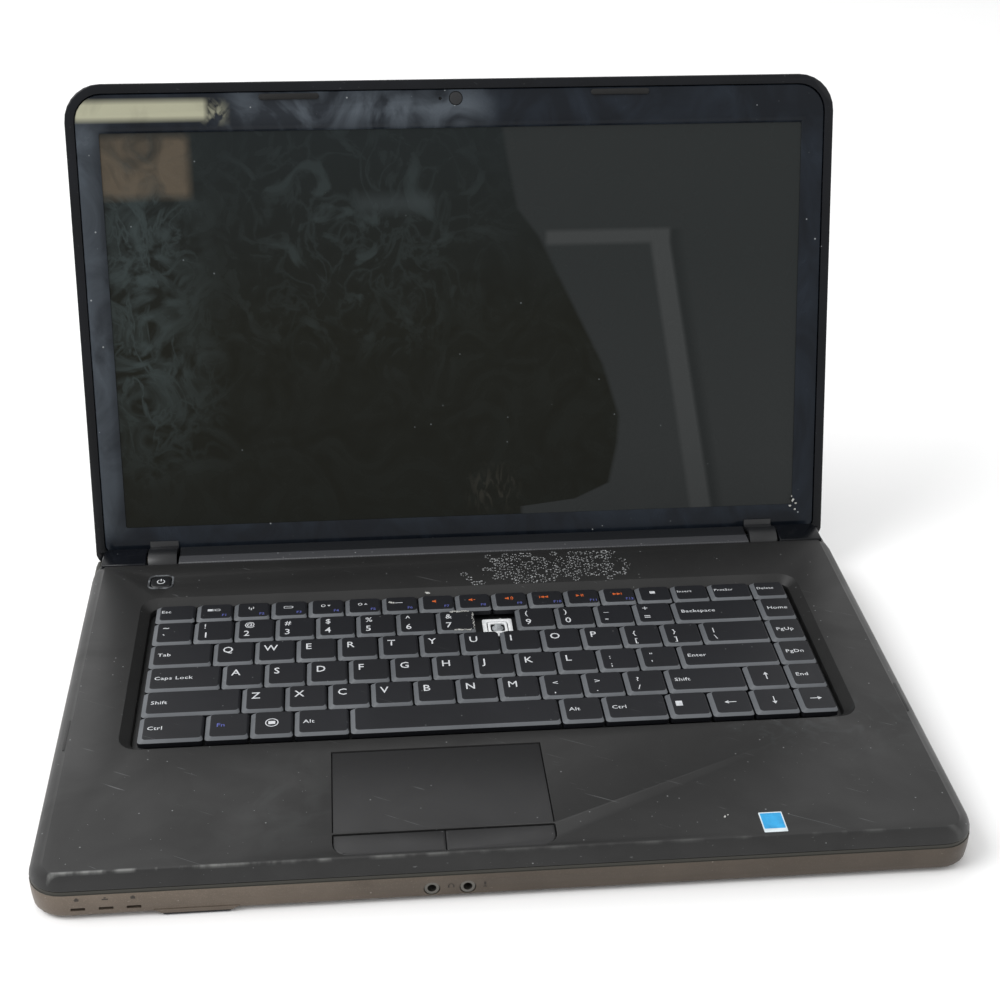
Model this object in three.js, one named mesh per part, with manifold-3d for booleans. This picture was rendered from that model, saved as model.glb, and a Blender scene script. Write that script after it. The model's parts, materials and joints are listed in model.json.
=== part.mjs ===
// A 15.6-inch notebook computer standing open, with one key lost and its scissor frame bare.
// Millimetres, +Z up, the front edge towards -Y, the lid's hinge axis along X at the rear.
import * as THREE from 'three';
import { mergeVertices } from 'three/addons/utils/BufferGeometryUtils.js';
import Module from 'manifold-3d';

const wasm = await Module();
wasm.setup();

// Overall sizes
const BASE_WIDTH = 378;
const BASE_DEPTH = 260;
const FRONT_HEIGHT = 21.9;
const DECK_SLOPE = 0.028;
const FOOT_HEIGHT = 1.5;
const FRONT_CORNER_RADIUS = 14.5;
const CASE_REAR_RADIUS = 19;
const REAR_CORNER_RADIUS = 22;
const LID_OPEN_DEG = 105.5;
const GAP = 0.3;
const SIDE_GAP = 0.35;

// Base shells
const CASE_WALL = 2.2;
const CASE_FLOOR = 1.8;
const COVER_HEIGHT = 7.6;
const COVER_SKIN = 2;
const COVER_BORDER = 6.6;
const COVER_FRONT_BORDER = 2.1;
const LIP_HEIGHT = 1.5;
const LIP_DEPTH = 0.4;
const PANEL_DEPTH = 227.3;
const COVER_DEPTH = 247;
const REAR_DECK_Z = 16;

// Hinge line
const HINGE_Y = 106.7;
const HINGE_Z = 22.2;
const CORE_RADIUS = 9.2;
const LID_SEAT_RADIUS = 9.6;
const TROUGH_RADIUS = 16.2;
const HINGE_X = 154;
const HINGE_NOTCH_WIDTH = 15;
const BARREL_RADIUS = 5;
const PIN_RADIUS = 2.5;
const PIN_CLEARANCE = 0.3;
const BRACKET_THICKNESS = 1.6;
const CAP_RADIUS = 8.7;

// Keyboard
const KEY_PITCH = 19.05;
const ROW_PITCH = 18.5;
const KEYS_LEFT = -152.4;
const COLUMN_X = 137.5;
const COLUMN_WIDTH = 17.2;
const KEYS_FRONT = 82.8;
const FUNCTION_ROW_DEPTH = 14.6;
const KEY_GAP = 0.7;
const KEY_TOP = -0.4;
const KEY_HEIGHT = 3.6;
const KEY_TAPER = 1.6;
const KEY_WALL = 0.9;
const PLATE_TOP = -6.3;
const PLATE_THICKNESS = 1;
const HOOK_HEIGHT = 2.7;
const WELL_WIDTH = 322;
const WELL_FRONT = 77.1;
const WELL_REAR = 196.2;
const WELL_RADIUS = 9;
const WELL_TAPER = 4.5;

// Touchpad and buttons
const PAD_LEFT = -70.5;
const PAD_RIGHT = 18.5;
const PAD_FRONT = 17.4;
const PAD_REAR = 69.3;
const PAD_DROP = 0.5;
const PAD_THICKNESS = 1.6;
const PAD_BUTTON_FRONT = 3.9;
const PAD_BUTTON_RADIUS = 7;
const PAD_SPLIT_X = -25.7;
const POWER_X = -153;
const POWER_V = 210.6;
const POWER_SIZE = 10.6;

// Lid
const LID_REACH = 236.9;
const LID_TAIL = 1.8;
const LID_THICKNESS = 8.1;
const LID_FACE = 7.4;
const LID_RADIUS = 18;
const LID_RIM = 4.6;
const LID_WALL = 2;
const BEZEL_THICKNESS = 1.8;
const BEZEL_FOOT = 6;
const SCREEN_WIDTH = 346;
const SCREEN_HEIGHT = 195.5;
const SCREEN_FOOT = 18.24;
const SCREEN_LIP = 2.8;
const PANEL_MARGIN = 5;
const PANEL_THICKNESS = 2.5;
const WEBCAM_V = 227.7;
const LENS_RADIUS = 3.1;
const BUMPER_X = 81;
const BUMPER_LENGTH = 29;
const BUMPER_V = 229.7;

// Drives, battery and boards
const BATTERY_LENGTH = 207;
const BATTERY_FRONT = 66;
const BATTERY_REAR = 104.2;
const BATTERY_TOP = 20.2;
const DRIVE_LEFT = 60;
const DRIVE_FRONT = -99;
const DRIVE_REAR = 27.5;
const DRIVE_HEIGHT = 11.2;
const DRIVE_WALL = 1;
const BOARD_Z = 6.2;
const BOARD_THICKNESS = 1.4;
const FAN_X = -142;
const FAN_Y = 60;
const FAN_RADIUS = 26;
const FAN_HEIGHT = 11;
const FAN_BLADES = 13;

const HALF_WIDTH = BASE_WIDTH / 2;
const FRONT_Y = -BASE_DEPTH / 2;
const REAR_Y = BASE_DEPTH / 2;
const FLOOR_Z = FOOT_HEIGHT + CASE_FLOOR;
const DECK_TILT = Math.atan(DECK_SLOPE);
const LID_TILT = THREE.MathUtils.degToRad(180 - LID_OPEN_DEG);
const FAR = 500;

// Materials, one for each finish
const finish = (color, roughness, metalness = 0) =>
  new THREE.MeshStandardMaterial({ color, roughness, metalness });
const bronzePlastic = finish(0x5f5347, 0.5);
const palmPlastic = finish(0x2f3133, 0.55);
const keyPlastic = finish(0x1f2023, 0.6);
const glossBlack = finish(0x0e1014, 0.15);
const satinBlack = finish(0x17181a, 0.45);
const screenGlass = finish(0x07080a, 0.08);
const rubber = finish(0x151515, 0.9);
const silicone = finish(0xb9bcc0, 0.6);
const whitePlastic = finish(0xd9dcdf, 0.5);
const steel = finish(0x9da1a5, 0.35, 0.9);
const aluminium = finish(0xb5b8bb, 0.4, 0.8);
const circuitGreen = finish(0x1e4d35, 0.6);
const clearPlastic = finish(0xc9ccd0, 0.3);

// Places of the groups
const base = new THREE.Group();
const deck = new THREE.Group();
deck.position.set(0, FRONT_Y, FRONT_HEIGHT);
deck.rotation.x = DECK_TILT;
const lid = new THREE.Group();
lid.position.set(0, HINGE_Y, HINGE_Z);
lid.rotation.x = LID_TILT;
deck.updateMatrixWorld();
lid.updateMatrixWorld();
const intoDeck = deck.matrixWorld.clone().invert();

// Joining and cutting
function solid(geometry) {
  const bare = geometry.clone();
  bare.deleteAttribute('normal');
  bare.deleteAttribute('uv');
  const merged = mergeVertices(bare, 1e-4);
  const vertProperties = Float32Array.from(merged.attributes.position.array);
  const triVerts = Uint32Array.from(merged.index.array);
  return new wasm.Manifold(new wasm.Mesh({ numProp: 3, vertProperties, triVerts }));
}

function addMesh(parent, name, shape, material) {
  let geometry = shape;
  if (!(shape instanceof THREE.BufferGeometry)) {
    const mesh = shape.getMesh();
    geometry = new THREE.BufferGeometry();
    geometry.setAttribute('position', new THREE.BufferAttribute(mesh.vertProperties, 3));
    geometry.setIndex(new THREE.BufferAttribute(mesh.triVerts, 1));
  }
  const piece = new THREE.Mesh(geometry, material);
  piece.name = name;
  parent.add(piece);
}

const union = (...shapes) => shapes.reduce((whole, shape) => whole.add(shape));
const inDeck = (geometry) => geometry.clone().applyMatrix4(intoDeck);
const fromDeck = (geometry) => geometry.clone().applyMatrix4(deck.matrixWorld);

// Shapes
function block(x0, x1, y0, y1, z0, z1) {
  const geometry = new THREE.BoxGeometry(x1 - x0, y1 - y0, z1 - z0);
  return geometry.translate((x0 + x1) / 2, (y0 + y1) / 2, (z0 + z1) / 2);
}

function cylinderAlongX(radius, x0, x1, y, z, sides = 40) {
  const geometry = new THREE.CylinderGeometry(radius, radius, x1 - x0, sides);
  return geometry.rotateZ(Math.PI / 2).translate((x0 + x1) / 2, y, z);
}

function cylinderAlongZ(radius, x, y, z0, z1, sides = 24) {
  const geometry = new THREE.CylinderGeometry(radius, radius, z1 - z0, sides);
  return geometry.rotateX(Math.PI / 2).translate(x, y, (z0 + z1) / 2);
}

function cylinderAlongY(radius, x, y0, y1, z, sides = 20) {
  const geometry = new THREE.CylinderGeometry(radius, radius, y1 - y0, sides);
  return geometry.translate(x, (y0 + y1) / 2, z);
}

// A rectangle with its own radius at each corner: front left, front right, rear right, rear left
function roundedOutline(x0, x1, y0, y1, radii, steps = 6) {
  const corners = [
    [x0, y0, 1, 1, Math.PI],
    [x1, y0, -1, 1, 1.5 * Math.PI],
    [x1, y1, -1, -1, 0],
    [x0, y1, 1, -1, 0.5 * Math.PI],
  ];
  const points = [];
  corners.forEach(([x, y, sideX, sideY, start], corner) => {
    const radius = Math.max(Array.isArray(radii) ? radii[corner] : radii, 0.05);
    for (let step = 0; step <= steps; step += 1) {
      const angle = start + (step / steps) * (Math.PI / 2);
      const centreX = x + sideX * radius;
      const centreY = y + sideY * radius;
      points.push(new THREE.Vector2(centreX + radius * Math.cos(angle), centreY + radius * Math.sin(angle)));
    }
  });
  return points;
}

function prism(points, z0, z1) {
  const shape = new THREE.Shape(points);
  const geometry = new THREE.ExtrudeGeometry(shape, { depth: z1 - z0, bevelEnabled: false });
  return geometry.translate(0, 0, z0);
}

// A closed body through a stack of outlines that have the same number of points, lowest first
function loft(rings) {
  const count = rings[0].points.length;
  const positions = rings.flatMap(({ points, z }) => points.flatMap((point) => [point.x, point.y, z]));
  const faces = [];
  for (let level = 0; level + 1 < rings.length; level += 1) {
    for (let index = 0; index < count; index += 1) {
      const next = (index + 1) % count;
      const low = level * count;
      const high = low + count;
      faces.push(low + index, low + next, high + next, low + index, high + next, high + index);
    }
  }
  const cap = THREE.ShapeUtils.triangulateShape(rings[0].points, []);
  const top = (rings.length - 1) * count;
  cap.forEach(([a, b, c]) => faces.push(c, b, a, top + a, top + b, top + c));
  const geometry = new THREE.BufferGeometry();
  geometry.setAttribute('position', new THREE.Float32BufferAttribute(positions, 3));
  geometry.setIndex(faces);
  return geometry;
}

// A loft of one rounded rectangle whose outline draws in by the inset given at each height, the front
// edge by one of its own where that is given
function insetLoft(x0, x1, y0, y1, radii, profile, steps = 6) {
  const list = Array.isArray(radii) ? radii : [radii, radii, radii, radii];
  return loft(profile.map(([z, inset, front = inset]) => ({
    z,
    points: roundedOutline(x0 + inset, x1 - inset, y0 + front, y1 - inset,
      list.map((radius) => Math.max(radius - inset, 0.4)), steps),
  })));
}

// A profile in the Y-Z plane, run along X
function profileAlongX(pairs, x0, x1) {
  const points = pairs.map(([y, z]) => new THREE.Vector2(y, z));
  return prism(points, 0, x1 - x0).rotateX(Math.PI / 2).rotateZ(Math.PI / 2).translate(x0, 0, 0);
}

// A ring sector about the X axis, from one angle to another, measured from +Y towards +Z
function sectorAlongX(inner, outer, startDeg, endDeg, x0, x1, steps = 14) {
  const pairs = [];
  const at = (radius, share) => {
    const angle = THREE.MathUtils.degToRad(startDeg + share * (endDeg - startDeg));
    pairs.push([radius * Math.cos(angle), radius * Math.sin(angle)]);
  };
  for (let step = 0; step <= steps; step += 1) at(outer, step / steps);
  for (let step = steps; step >= 0; step -= 1) at(inner, step / steps);
  return profileAlongX(pairs, x0, x1);
}

// The space behind the hinge core, which the foot of the lid swings through
const behindCore = solid(block(-FAR, FAR, HINGE_Y, FAR, -FAR, FAR))
  .subtract(solid(cylinderAlongX(CORE_RADIUS, -FAR, FAR, HINGE_Y, HINGE_Z, 64)));
const behindCoreInDeck = solid(inDeck(block(-FAR, FAR, HINGE_Y, FAR, -FAR, FAR)))
  .subtract(solid(inDeck(cylinderAlongX(CORE_RADIUS, -FAR, FAR, HINGE_Y, HINGE_Z, 64))));

// Bottom case: a rounded tray with a rear deck and the trough of the hinge
const CASE_RADII = [FRONT_CORNER_RADIUS, FRONT_CORNER_RADIUS, CASE_REAR_RADIUS, CASE_REAR_RADIUS];
const CASE_PROFILE = [[0, 1.9], [0.4, 1], [1.2, 0.5], [3.5, 0.2], [7, 0], [30, 0]];
const caseOuter = () => solid(insetLoft(-HALF_WIDTH, HALF_WIDTH, FRONT_Y, REAR_Y, CASE_RADII,
  CASE_PROFILE.map(([z, inset]) => [FOOT_HEIGHT + z, inset]), 7));
const caseHollow = solid(insetLoft(-HALF_WIDTH + CASE_WALL, HALF_WIDTH - CASE_WALL, FRONT_Y + CASE_WALL,
  BATTERY_REAR + GAP, CASE_RADII.map((radius) => radius - CASE_WALL),
  [[FLOOR_Z, 2.4], [FLOOR_Z + 1.6, 0.9], [FLOOR_Z + 4.5, 0.2], [FLOOR_Z + 8, 0], [40, 0]], 7));
const seamZ = -COVER_HEIGHT - GAP;
const aboveSeam = solid(fromDeck(block(-FAR, FAR, -FAR, FAR, seamZ, FAR)));
const lipBand = solid(fromDeck(block(-FAR, FAR, -FAR, FAR, seamZ - LIP_HEIGHT, FAR))).subtract(solid(prism(
  roundedOutline(-HALF_WIDTH + LIP_DEPTH, HALF_WIDTH - LIP_DEPTH, FRONT_Y + LIP_DEPTH, REAR_Y - LIP_DEPTH,
    CASE_RADII.map((radius) => radius - LIP_DEPTH), 7), -1, 60)));

const SERVICE = { x0: -56, x1: 44, y0: -46, y1: 20, lip: 3 };
const CARD_SLOT = { x0: -137.2, x1: -110.6, chin: 1.25, lipBottom: 0.4, top: 5.6 };
const LATCH = { x: 46, y: 56.5, length: 16, width: 5, travel: 6, foot: 20 };
const LOCK = { x: -46, y: 56.5, length: 16, width: 5, travel: 6, foot: 20 };
const PORTS = [
  { name: 'power_inlet', side: -1, y: 12, width: 9, height: 9, depth: 12, material: satinBlack },
  { name: 'video_port', side: -1, y: -4, width: 17, height: 8, depth: 12, material: steel },
  { name: 'network_port', side: -1, y: -25, width: 16, height: 9, depth: 16, material: steel },
  { name: 'usb_port_left', side: -1, y: -44, width: 13.5, height: 6.5, depth: 14, material: steel },
  { name: 'usb_port_right', side: 1, y: 42, width: 13.5, height: 6.5, depth: 14, material: steel },
];
const PORT_Z = BOARD_Z + BOARD_THICKNESS + GAP;
const JACKS = [{ name: 'headphone_jack', x: -32 }, { name: 'microphone_jack', x: -17.8 }];
const JACK_Z = 6;
const JACK_RADIUS = 3;
const STATUS_X = [-169.3, -158.5, -147.8];
const STATUS_Z = 4.6;
const STATUS_WIDTH = 5.6;
const FIN_Y0 = 42;
const FIN_Y1 = 84;
const FIN_LENGTH = 11;
const SPEAKERS = [{ name: 'speaker_left', x: -156 }, { name: 'speaker_right', x: 156 }];
const SPEAKER = { length: 36, y0: FRONT_Y + 8, y1: FRONT_Y + 22, height: 8 };
const BOSSES = [[-170, -22], [50, -34], [-100, 24], [40, 42], [-12, 50]];

function slotRow(count, x0, pitch, width, y0, y1) {
  const slots = [];
  for (let index = 0; index < count; index += 1) {
    const x = x0 + index * pitch;
    slots.push(solid(block(x, x + width, y0, y1, -1, FLOOR_Z + 0.2)));
  }
  return union(...slots);
}

function bottomCase() {
  const trough = solid(cylinderAlongX(TROUGH_RADIUS, -FAR, FAR, HINGE_Y, HINGE_Z, 72))
    .intersect(behindCore)
    .subtract(solid(sectorAlongX(0, FAR, 232, 302, -FAR, FAR).translate(0, HINGE_Y, HINGE_Z)));
  const rearTop = solid(block(-FAR, FAR, HINGE_Y, FAR, REAR_DECK_Z, 60)).intersect(behindCore);
  let body = caseOuter().subtract(caseHollow).subtract(aboveSeam).subtract(lipBand);
  body = body.subtract(trough).subtract(rearTop);
  // The rear lip is hollowed from below, as moulded
  body = body.subtract(solid(block(-150, 150, REAR_Y - 7, REAR_Y - 3, -1, REAR_DECK_Z - 3)));
  const notchHalf = HINGE_NOTCH_WIDTH / 2 + 0.5;
  for (const side of [-1, 1]) {
    const x = side * HINGE_X;
    body = body.subtract(solid(block(x - notchHalf, x + notchHalf, HINGE_Y - TROUGH_RADIUS, HINGE_Y + 12, 9, 40)));
  }
  for (const [x, y] of BOSSES) body = body.add(solid(cylinderAlongZ(3, x, y, FLOOR_Z - 0.5, BOARD_Z - GAP, 12)));
  // Openings in the floor
  body = body.subtract(solid(block(-BATTERY_LENGTH / 2 - SIDE_GAP, BATTERY_LENGTH / 2 + SIDE_GAP,
    BATTERY_FRONT - SIDE_GAP, BATTERY_REAR + SIDE_GAP, -1, BATTERY_TOP + 5)));
  body = body.subtract(solid(block(SERVICE.x0, SERVICE.x1, SERVICE.y0, SERVICE.y1, -1, FLOOR_Z + 0.2)));
  for (const slide of [LATCH, LOCK]) {
    const half = slide.length / 2 + SIDE_GAP;
    body = body.subtract(solid(block(slide.x - half, slide.x + half + slide.travel,
      slide.y - slide.width / 2 - SIDE_GAP, slide.y + slide.width / 2 + SIDE_GAP, -1, FLOOR_Z + 0.2)));
  }
  body = body.subtract(slotRow(9, FAN_X - 20, 4.6, 2.4, FAN_Y - 14, FAN_Y + 14));
  body = body.subtract(slotRow(6, SPEAKERS[0].x - 12, 4.4, 2, SPEAKER.y0 + 4, SPEAKER.y1 - 2));
  body = body.subtract(slotRow(6, SPEAKERS[1].x - 12, 4.4, 2, SPEAKER.y0 + 4, SPEAKER.y1 - 2));
  // Front edge: card slot, two jacks and three status lights
  const slotX0 = CARD_SLOT.x0 - SIDE_GAP;
  const slotX1 = CARD_SLOT.x1 + SIDE_GAP;
  const chin = [[slotX0 - 3, FOOT_HEIGHT + 1.6], [slotX0, CARD_SLOT.chin], [slotX1, CARD_SLOT.chin],
    [slotX1 + 3, FOOT_HEIGHT + 1.6]].map(([x, z]) => new THREE.Vector2(x, z));
  body = body.add(solid(prism(chin, 0, 5.8).rotateX(Math.PI / 2).translate(0, FRONT_Y + 6, 0)));
  body = body.subtract(solid(block(slotX0, slotX1, FRONT_Y + 3.6, FRONT_Y + 5.4, -1, CARD_SLOT.top + GAP)));
  body = body.subtract(solid(block(slotX0, slotX1, FRONT_Y + 3.6, FRONT_Y + 10, FLOOR_Z, CARD_SLOT.top + GAP)));
  for (const jack of JACKS) {
    body = body.subtract(solid(cylinderAlongY(JACK_RADIUS + GAP, jack.x, FRONT_Y - 1, FRONT_Y + 7.5, JACK_Z)));
  }
  for (const x of STATUS_X) {
    body = body.subtract(solid(block(x - STATUS_WIDTH / 2, x + STATUS_WIDTH / 2, FRONT_Y - 1, FRONT_Y + 6,
      STATUS_Z, STATUS_Z + 1.4)));
  }
  // Left side: ports and heat sink louvres; right side: optical drive and port
  for (const port of PORTS) {
    const outer = port.side * (HALF_WIDTH + 1);
    const inner = port.side * (HALF_WIDTH - 6);
    body = body.subtract(solid(block(Math.min(outer, inner), Math.max(outer, inner),
      port.y - port.width / 2 + 0.4, port.y + port.width / 2 - 0.4, PORT_Z + 0.4, PORT_Z + port.height - 0.4)));
  }
  const louvres = 9;
  const louvrePitch = (FIN_Y1 - FIN_Y0) / louvres;
  for (let index = 0; index < louvres; index += 1) {
    const y = FIN_Y0 + index * louvrePitch;
    body = body.subtract(solid(block(-HALF_WIDTH - 1, -HALF_WIDTH + 6, y + 0.8, y + louvrePitch - 0.8, 6, 15)));
  }
  const driveTop = FLOOR_Z + GAP + DRIVE_HEIGHT;
  body = body.subtract(solid(block(HALF_WIDTH - 8, HALF_WIDTH + 1, DRIVE_FRONT - 0.5, DRIVE_REAR + 0.5,
    FLOOR_Z + GAP, driveTop - 0.2)));
  return body;
}
addMesh(base, 'bottom_case', bottomCase(), bronzePlastic);

// Palm rest cover: a crowned shell with a sloped border, keyboard well, touchpad window and button holes
const BEHIND_PANEL = PANEL_DEPTH + SIDE_GAP;
const ARM_X = HALF_WIDTH - 4.6;
const deckBlock = (x0, x1, v0, v1, w0, w1) => solid(block(x0, x1, v0, v1, w0, w1));

function wellOutline(inset, radius) {
  return roundedOutline(-WELL_WIDTH / 2 + inset, WELL_WIDTH / 2 - inset, WELL_FRONT + inset,
    WELL_REAR - inset, radius, 5);
}

function palmRestCover() {
  const radii = [FRONT_CORNER_RADIUS, FRONT_CORNER_RADIUS, REAR_CORNER_RADIUS, REAR_CORNER_RADIUS];
  const front = (share) => share * COVER_FRONT_BORDER;
  const profile = [[-COVER_HEIGHT, 0.1, 0.1], [-6.9, 0.35, front(0.1)], [-4.6, 1.2, front(0.25)],
    [-2.6, 2.9, front(0.45)], [-1.1, 5.2, front(0.7)], [-0.35, COVER_BORDER, front(0.85)],
    [0, COVER_BORDER + 0.35, front(1)]];
  let body = solid(insetLoft(-HALF_WIDTH, HALF_WIDTH, 0, COVER_DEPTH, radii, profile, 7));
  const under = 2.6;
  let hollow = solid(insetLoft(-HALF_WIDTH + under, HALF_WIDTH - under, under, PANEL_DEPTH - under,
    radii.map((radius) => radius - under),
    [[-COVER_HEIGHT - 1, 0], [-COVER_HEIGHT + 0.4, 0], [-4.2, 1.6], [-COVER_SKIN, 4.6]], 7));
  // Material stays round the keyboard well, the touchpad and the power button
  hollow = hollow.subtract(solid(prism(wellOutline(-2.4, WELL_RADIUS), PLATE_TOP + GAP, 0)));
  hollow = hollow.subtract(deckBlock(PAD_LEFT - 3, PAD_RIGHT + 3, PAD_BUTTON_FRONT - 2, PAD_REAR + 3, -4.4, 0));
  hollow = hollow.subtract(deckBlock(POWER_X - 9, POWER_X + 9, POWER_V - 9, POWER_V + 9, -4.6, 0));
  body = body.subtract(hollow);
  const drop = -PLATE_TOP;
  body = body.subtract(solid(loft([
    { z: -drop - 1, points: wellOutline(WELL_TAPER + 0.6, WELL_RADIUS - 4) },
    { z: -3.4, points: wellOutline(WELL_TAPER, WELL_RADIUS - 4) },
    { z: -0.6, points: wellOutline(0.7, WELL_RADIUS - 0.7) },
    { z: 0.2, points: wellOutline(0, WELL_RADIUS) },
  ])));
  // Touchpad pocket and the window of its buttons
  body = body.subtract(deckBlock(PAD_LEFT, PAD_RIGHT, PAD_FRONT, PAD_REAR,
    -PAD_DROP - PAD_THICKNESS - GAP, 1));
  const buttonWindow = roundedOutline(PAD_LEFT, PAD_RIGHT, PAD_BUTTON_FRONT, PAD_FRONT - 0.8,
    [PAD_BUTTON_RADIUS, PAD_BUTTON_RADIUS, 0.6, 0.6], 5);
  body = body.subtract(solid(prism(buttonWindow, -10, 1)));
  const half = POWER_SIZE / 2;
  const powerHole = roundedOutline(POWER_X - half, POWER_X + half, POWER_V - half, POWER_V + half, 3, 4);
  body = body.subtract(solid(prism(powerHole, -10, 1)));
  // Behind the panel only the two side arms run back to the hinge
  body = body.subtract(deckBlock(-ARM_X, ARM_X, PANEL_DEPTH, FAR, -10, 5));
  return body.subtract(behindCoreInDeck);
}
addMesh(deck, 'palm_rest_cover', palmRestCover(), palmPlastic);

// Strip, corner caps and hinge covers along the rear edge
const NOTCH_INNER = HINGE_X - HINGE_NOTCH_WIDTH / 2;
const NOTCH_OUTER = HINGE_X + HINGE_NOTCH_WIDTH / 2;
function rearBar(x0, x1, top, radii) {
  const outline = roundedOutline(x0, x1, BEHIND_PANEL, COVER_DEPTH - 1, radii, 5);
  const inner = outline.map((point) => new THREE.Vector2(
    THREE.MathUtils.clamp(point.x, x0 + 0.5, x1 - 0.5),
    THREE.MathUtils.clamp(point.y, BEHIND_PANEL + 0.5, COVER_DEPTH - 1.5)));
  const bar = solid(loft([
    { z: -COVER_HEIGHT, points: outline },
    { z: top - 0.5, points: outline },
    { z: top, points: inner },
  ]));
  return bar.subtract(behindCoreInDeck);
}
addMesh(deck, 'hinge_strip', rearBar(-NOTCH_INNER + 0.8, NOTCH_INNER - 0.8, 0.5, 0.5), satinBlack);
const capOuter = ARM_X - SIDE_GAP;
addMesh(deck, 'corner_cap_left', rearBar(-capOuter, -NOTCH_OUTER - 0.6, 0.5, [0.5, 0.5, 0.5, 9]), glossBlack);
addMesh(deck, 'corner_cap_right', rearBar(NOTCH_OUTER + 0.6, capOuter, 0.5, [0.5, 0.5, 9, 0.5]), glossBlack);

// Keyboard: rows of caps from the front row back; the last key of each run fills up to the right column
const HALF_GAP = KEY_GAP / 2;
const single = (count) => ({ count, width: KEY_PITCH });
const ROWS = [
  { runs: [{ count: 1, width: 28.6 }, { count: 1, width: 19.4 }, single(1), { count: 1, width: 24.2 },
    { count: 1, width: 92.3, node: 'key_space' }, single(1), { count: 1, width: 28.7 }, single(2)] },
  { runs: [{ count: 1, width: 43.6, node: 'key_shift_left' }, single(10),
    { count: 1, width: 36.6, node: 'key_shift_right' }] },
  { runs: [{ count: 1, width: 34 }, single(11)], fill: 'key_enter' },
  { runs: [{ count: 1, width: 29.1, node: 'key_tab' }, single(12)] },
  { runs: [single(13)], fill: 'key_backspace', lost: 8 },
  { runs: [{ count: 1, width: 19.3 }, { count: 13, width: 17.75 }, { count: 1, width: 18.5 }],
    depth: FUNCTION_ROW_DEPTH },
];

function keyLayout() {
  const keys = [];
  ROWS.forEach((row, rowIndex) => {
    const front = KEYS_FRONT + rowIndex * ROW_PITCH;
    const depth = row.depth ?? ROW_PITCH;
    let x = KEYS_LEFT;
    const place = (width, node) => {
      keys.push({ x0: x, x1: x + width, v0: front, v1: front + depth, node, row: rowIndex });
      x += width;
    };
    for (const run of row.runs) for (let index = 0; index < run.count; index += 1) place(run.width, run.node);
    place(COLUMN_X - x, row.fill);
    place(COLUMN_WIDTH);
  });
  return keys;
}
const keys = keyLayout();
const lostRow = ROWS.findIndex((row) => row.lost !== undefined);
const lostKey = keys.filter((key) => key.row === lostRow)[ROWS[lostRow].lost];

function capOutline(key, inset, radius) {
  return roundedOutline(key.x0 + HALF_GAP + inset, key.x1 - HALF_GAP - inset, key.v0 + HALF_GAP + inset,
    key.v1 - HALF_GAP - inset, radius, 1);
}

function keyCap(key) {
  return solid(loft([
    { z: KEY_TOP - KEY_HEIGHT, points: capOutline(key, 0, 0.8) },
    { z: KEY_TOP, points: capOutline(key, KEY_TAPER, 0.9) },
  ]));
}

const HOOK = { width: 3, thickness: 1.2 };
function hookPlaces(key) {
  const reach = Math.min((key.x1 - key.x0) / 2 - 6, 30);
  const middle = (key.x0 + key.x1) / 2;
  const v = (key.v0 + key.v1) / 2;
  return [[middle - reach, v], [middle + reach, v]];
}

function keyboardPlate() {
  const margin = WELL_TAPER - 1.4;
  let body = solid(prism(roundedOutline(-WELL_WIDTH / 2 + margin, WELL_WIDTH / 2 - margin, WELL_FRONT + margin,
    WELL_REAR - margin, WELL_RADIUS - 3, 4), PLATE_TOP - PLATE_THICKNESS, PLATE_TOP));
  const additions = [];
  for (const key of keys) {
    const middle = (key.x0 + key.x1) / 2;
    const v = (key.v0 + key.v1) / 2;
    if (key === lostKey) continue;
    if (key.node) {
      for (const [x, y] of hookPlaces(key)) {
        additions.push(deckBlock(x - HOOK.thickness / 2, x + HOOK.thickness / 2, y - HOOK.width / 2,
          y + HOOK.width / 2, PLATE_TOP - 0.2, PLATE_TOP + HOOK_HEIGHT));
      }
    } else {
      additions.push(keyCap(key));
      additions.push(deckBlock(middle - 3, middle + 3, v - 2.5, v + 2.5, PLATE_TOP - 0.2, KEY_TOP - KEY_HEIGHT + 0.5));
    }
  }
  return union(body, ...additions);
}
addMesh(deck, 'keyboard_plate', keyboardPlate(), keyPlastic);

// A wide key: a hollow cap whose inner ribs slide along the hooks of the plate
function wideKey(key) {
  const inner = solid(loft([
    { z: KEY_TOP - KEY_HEIGHT - 1, points: capOutline(key, KEY_WALL, 0.5) },
    { z: KEY_TOP - KEY_WALL, points: capOutline(key, KEY_TAPER + KEY_WALL - 0.3, 0.5) },
  ]));
  let cap = keyCap(key).subtract(inner);
  for (const [x, y] of hookPlaces(key)) {
    for (const side of [-1, 1]) {
      const near = x + side * (HOOK.thickness / 2 + GAP);
      cap = cap.add(deckBlock(Math.min(near, near + side * 0.9), Math.max(near, near + side * 0.9),
        y - HOOK.width / 2, y + HOOK.width / 2, KEY_TOP - KEY_HEIGHT, KEY_TOP - KEY_WALL + 0.2));
    }
  }
  return cap;
}
for (const key of keys) if (key.node) addMesh(deck, key.node, wideKey(key), keyPlastic);

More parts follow.
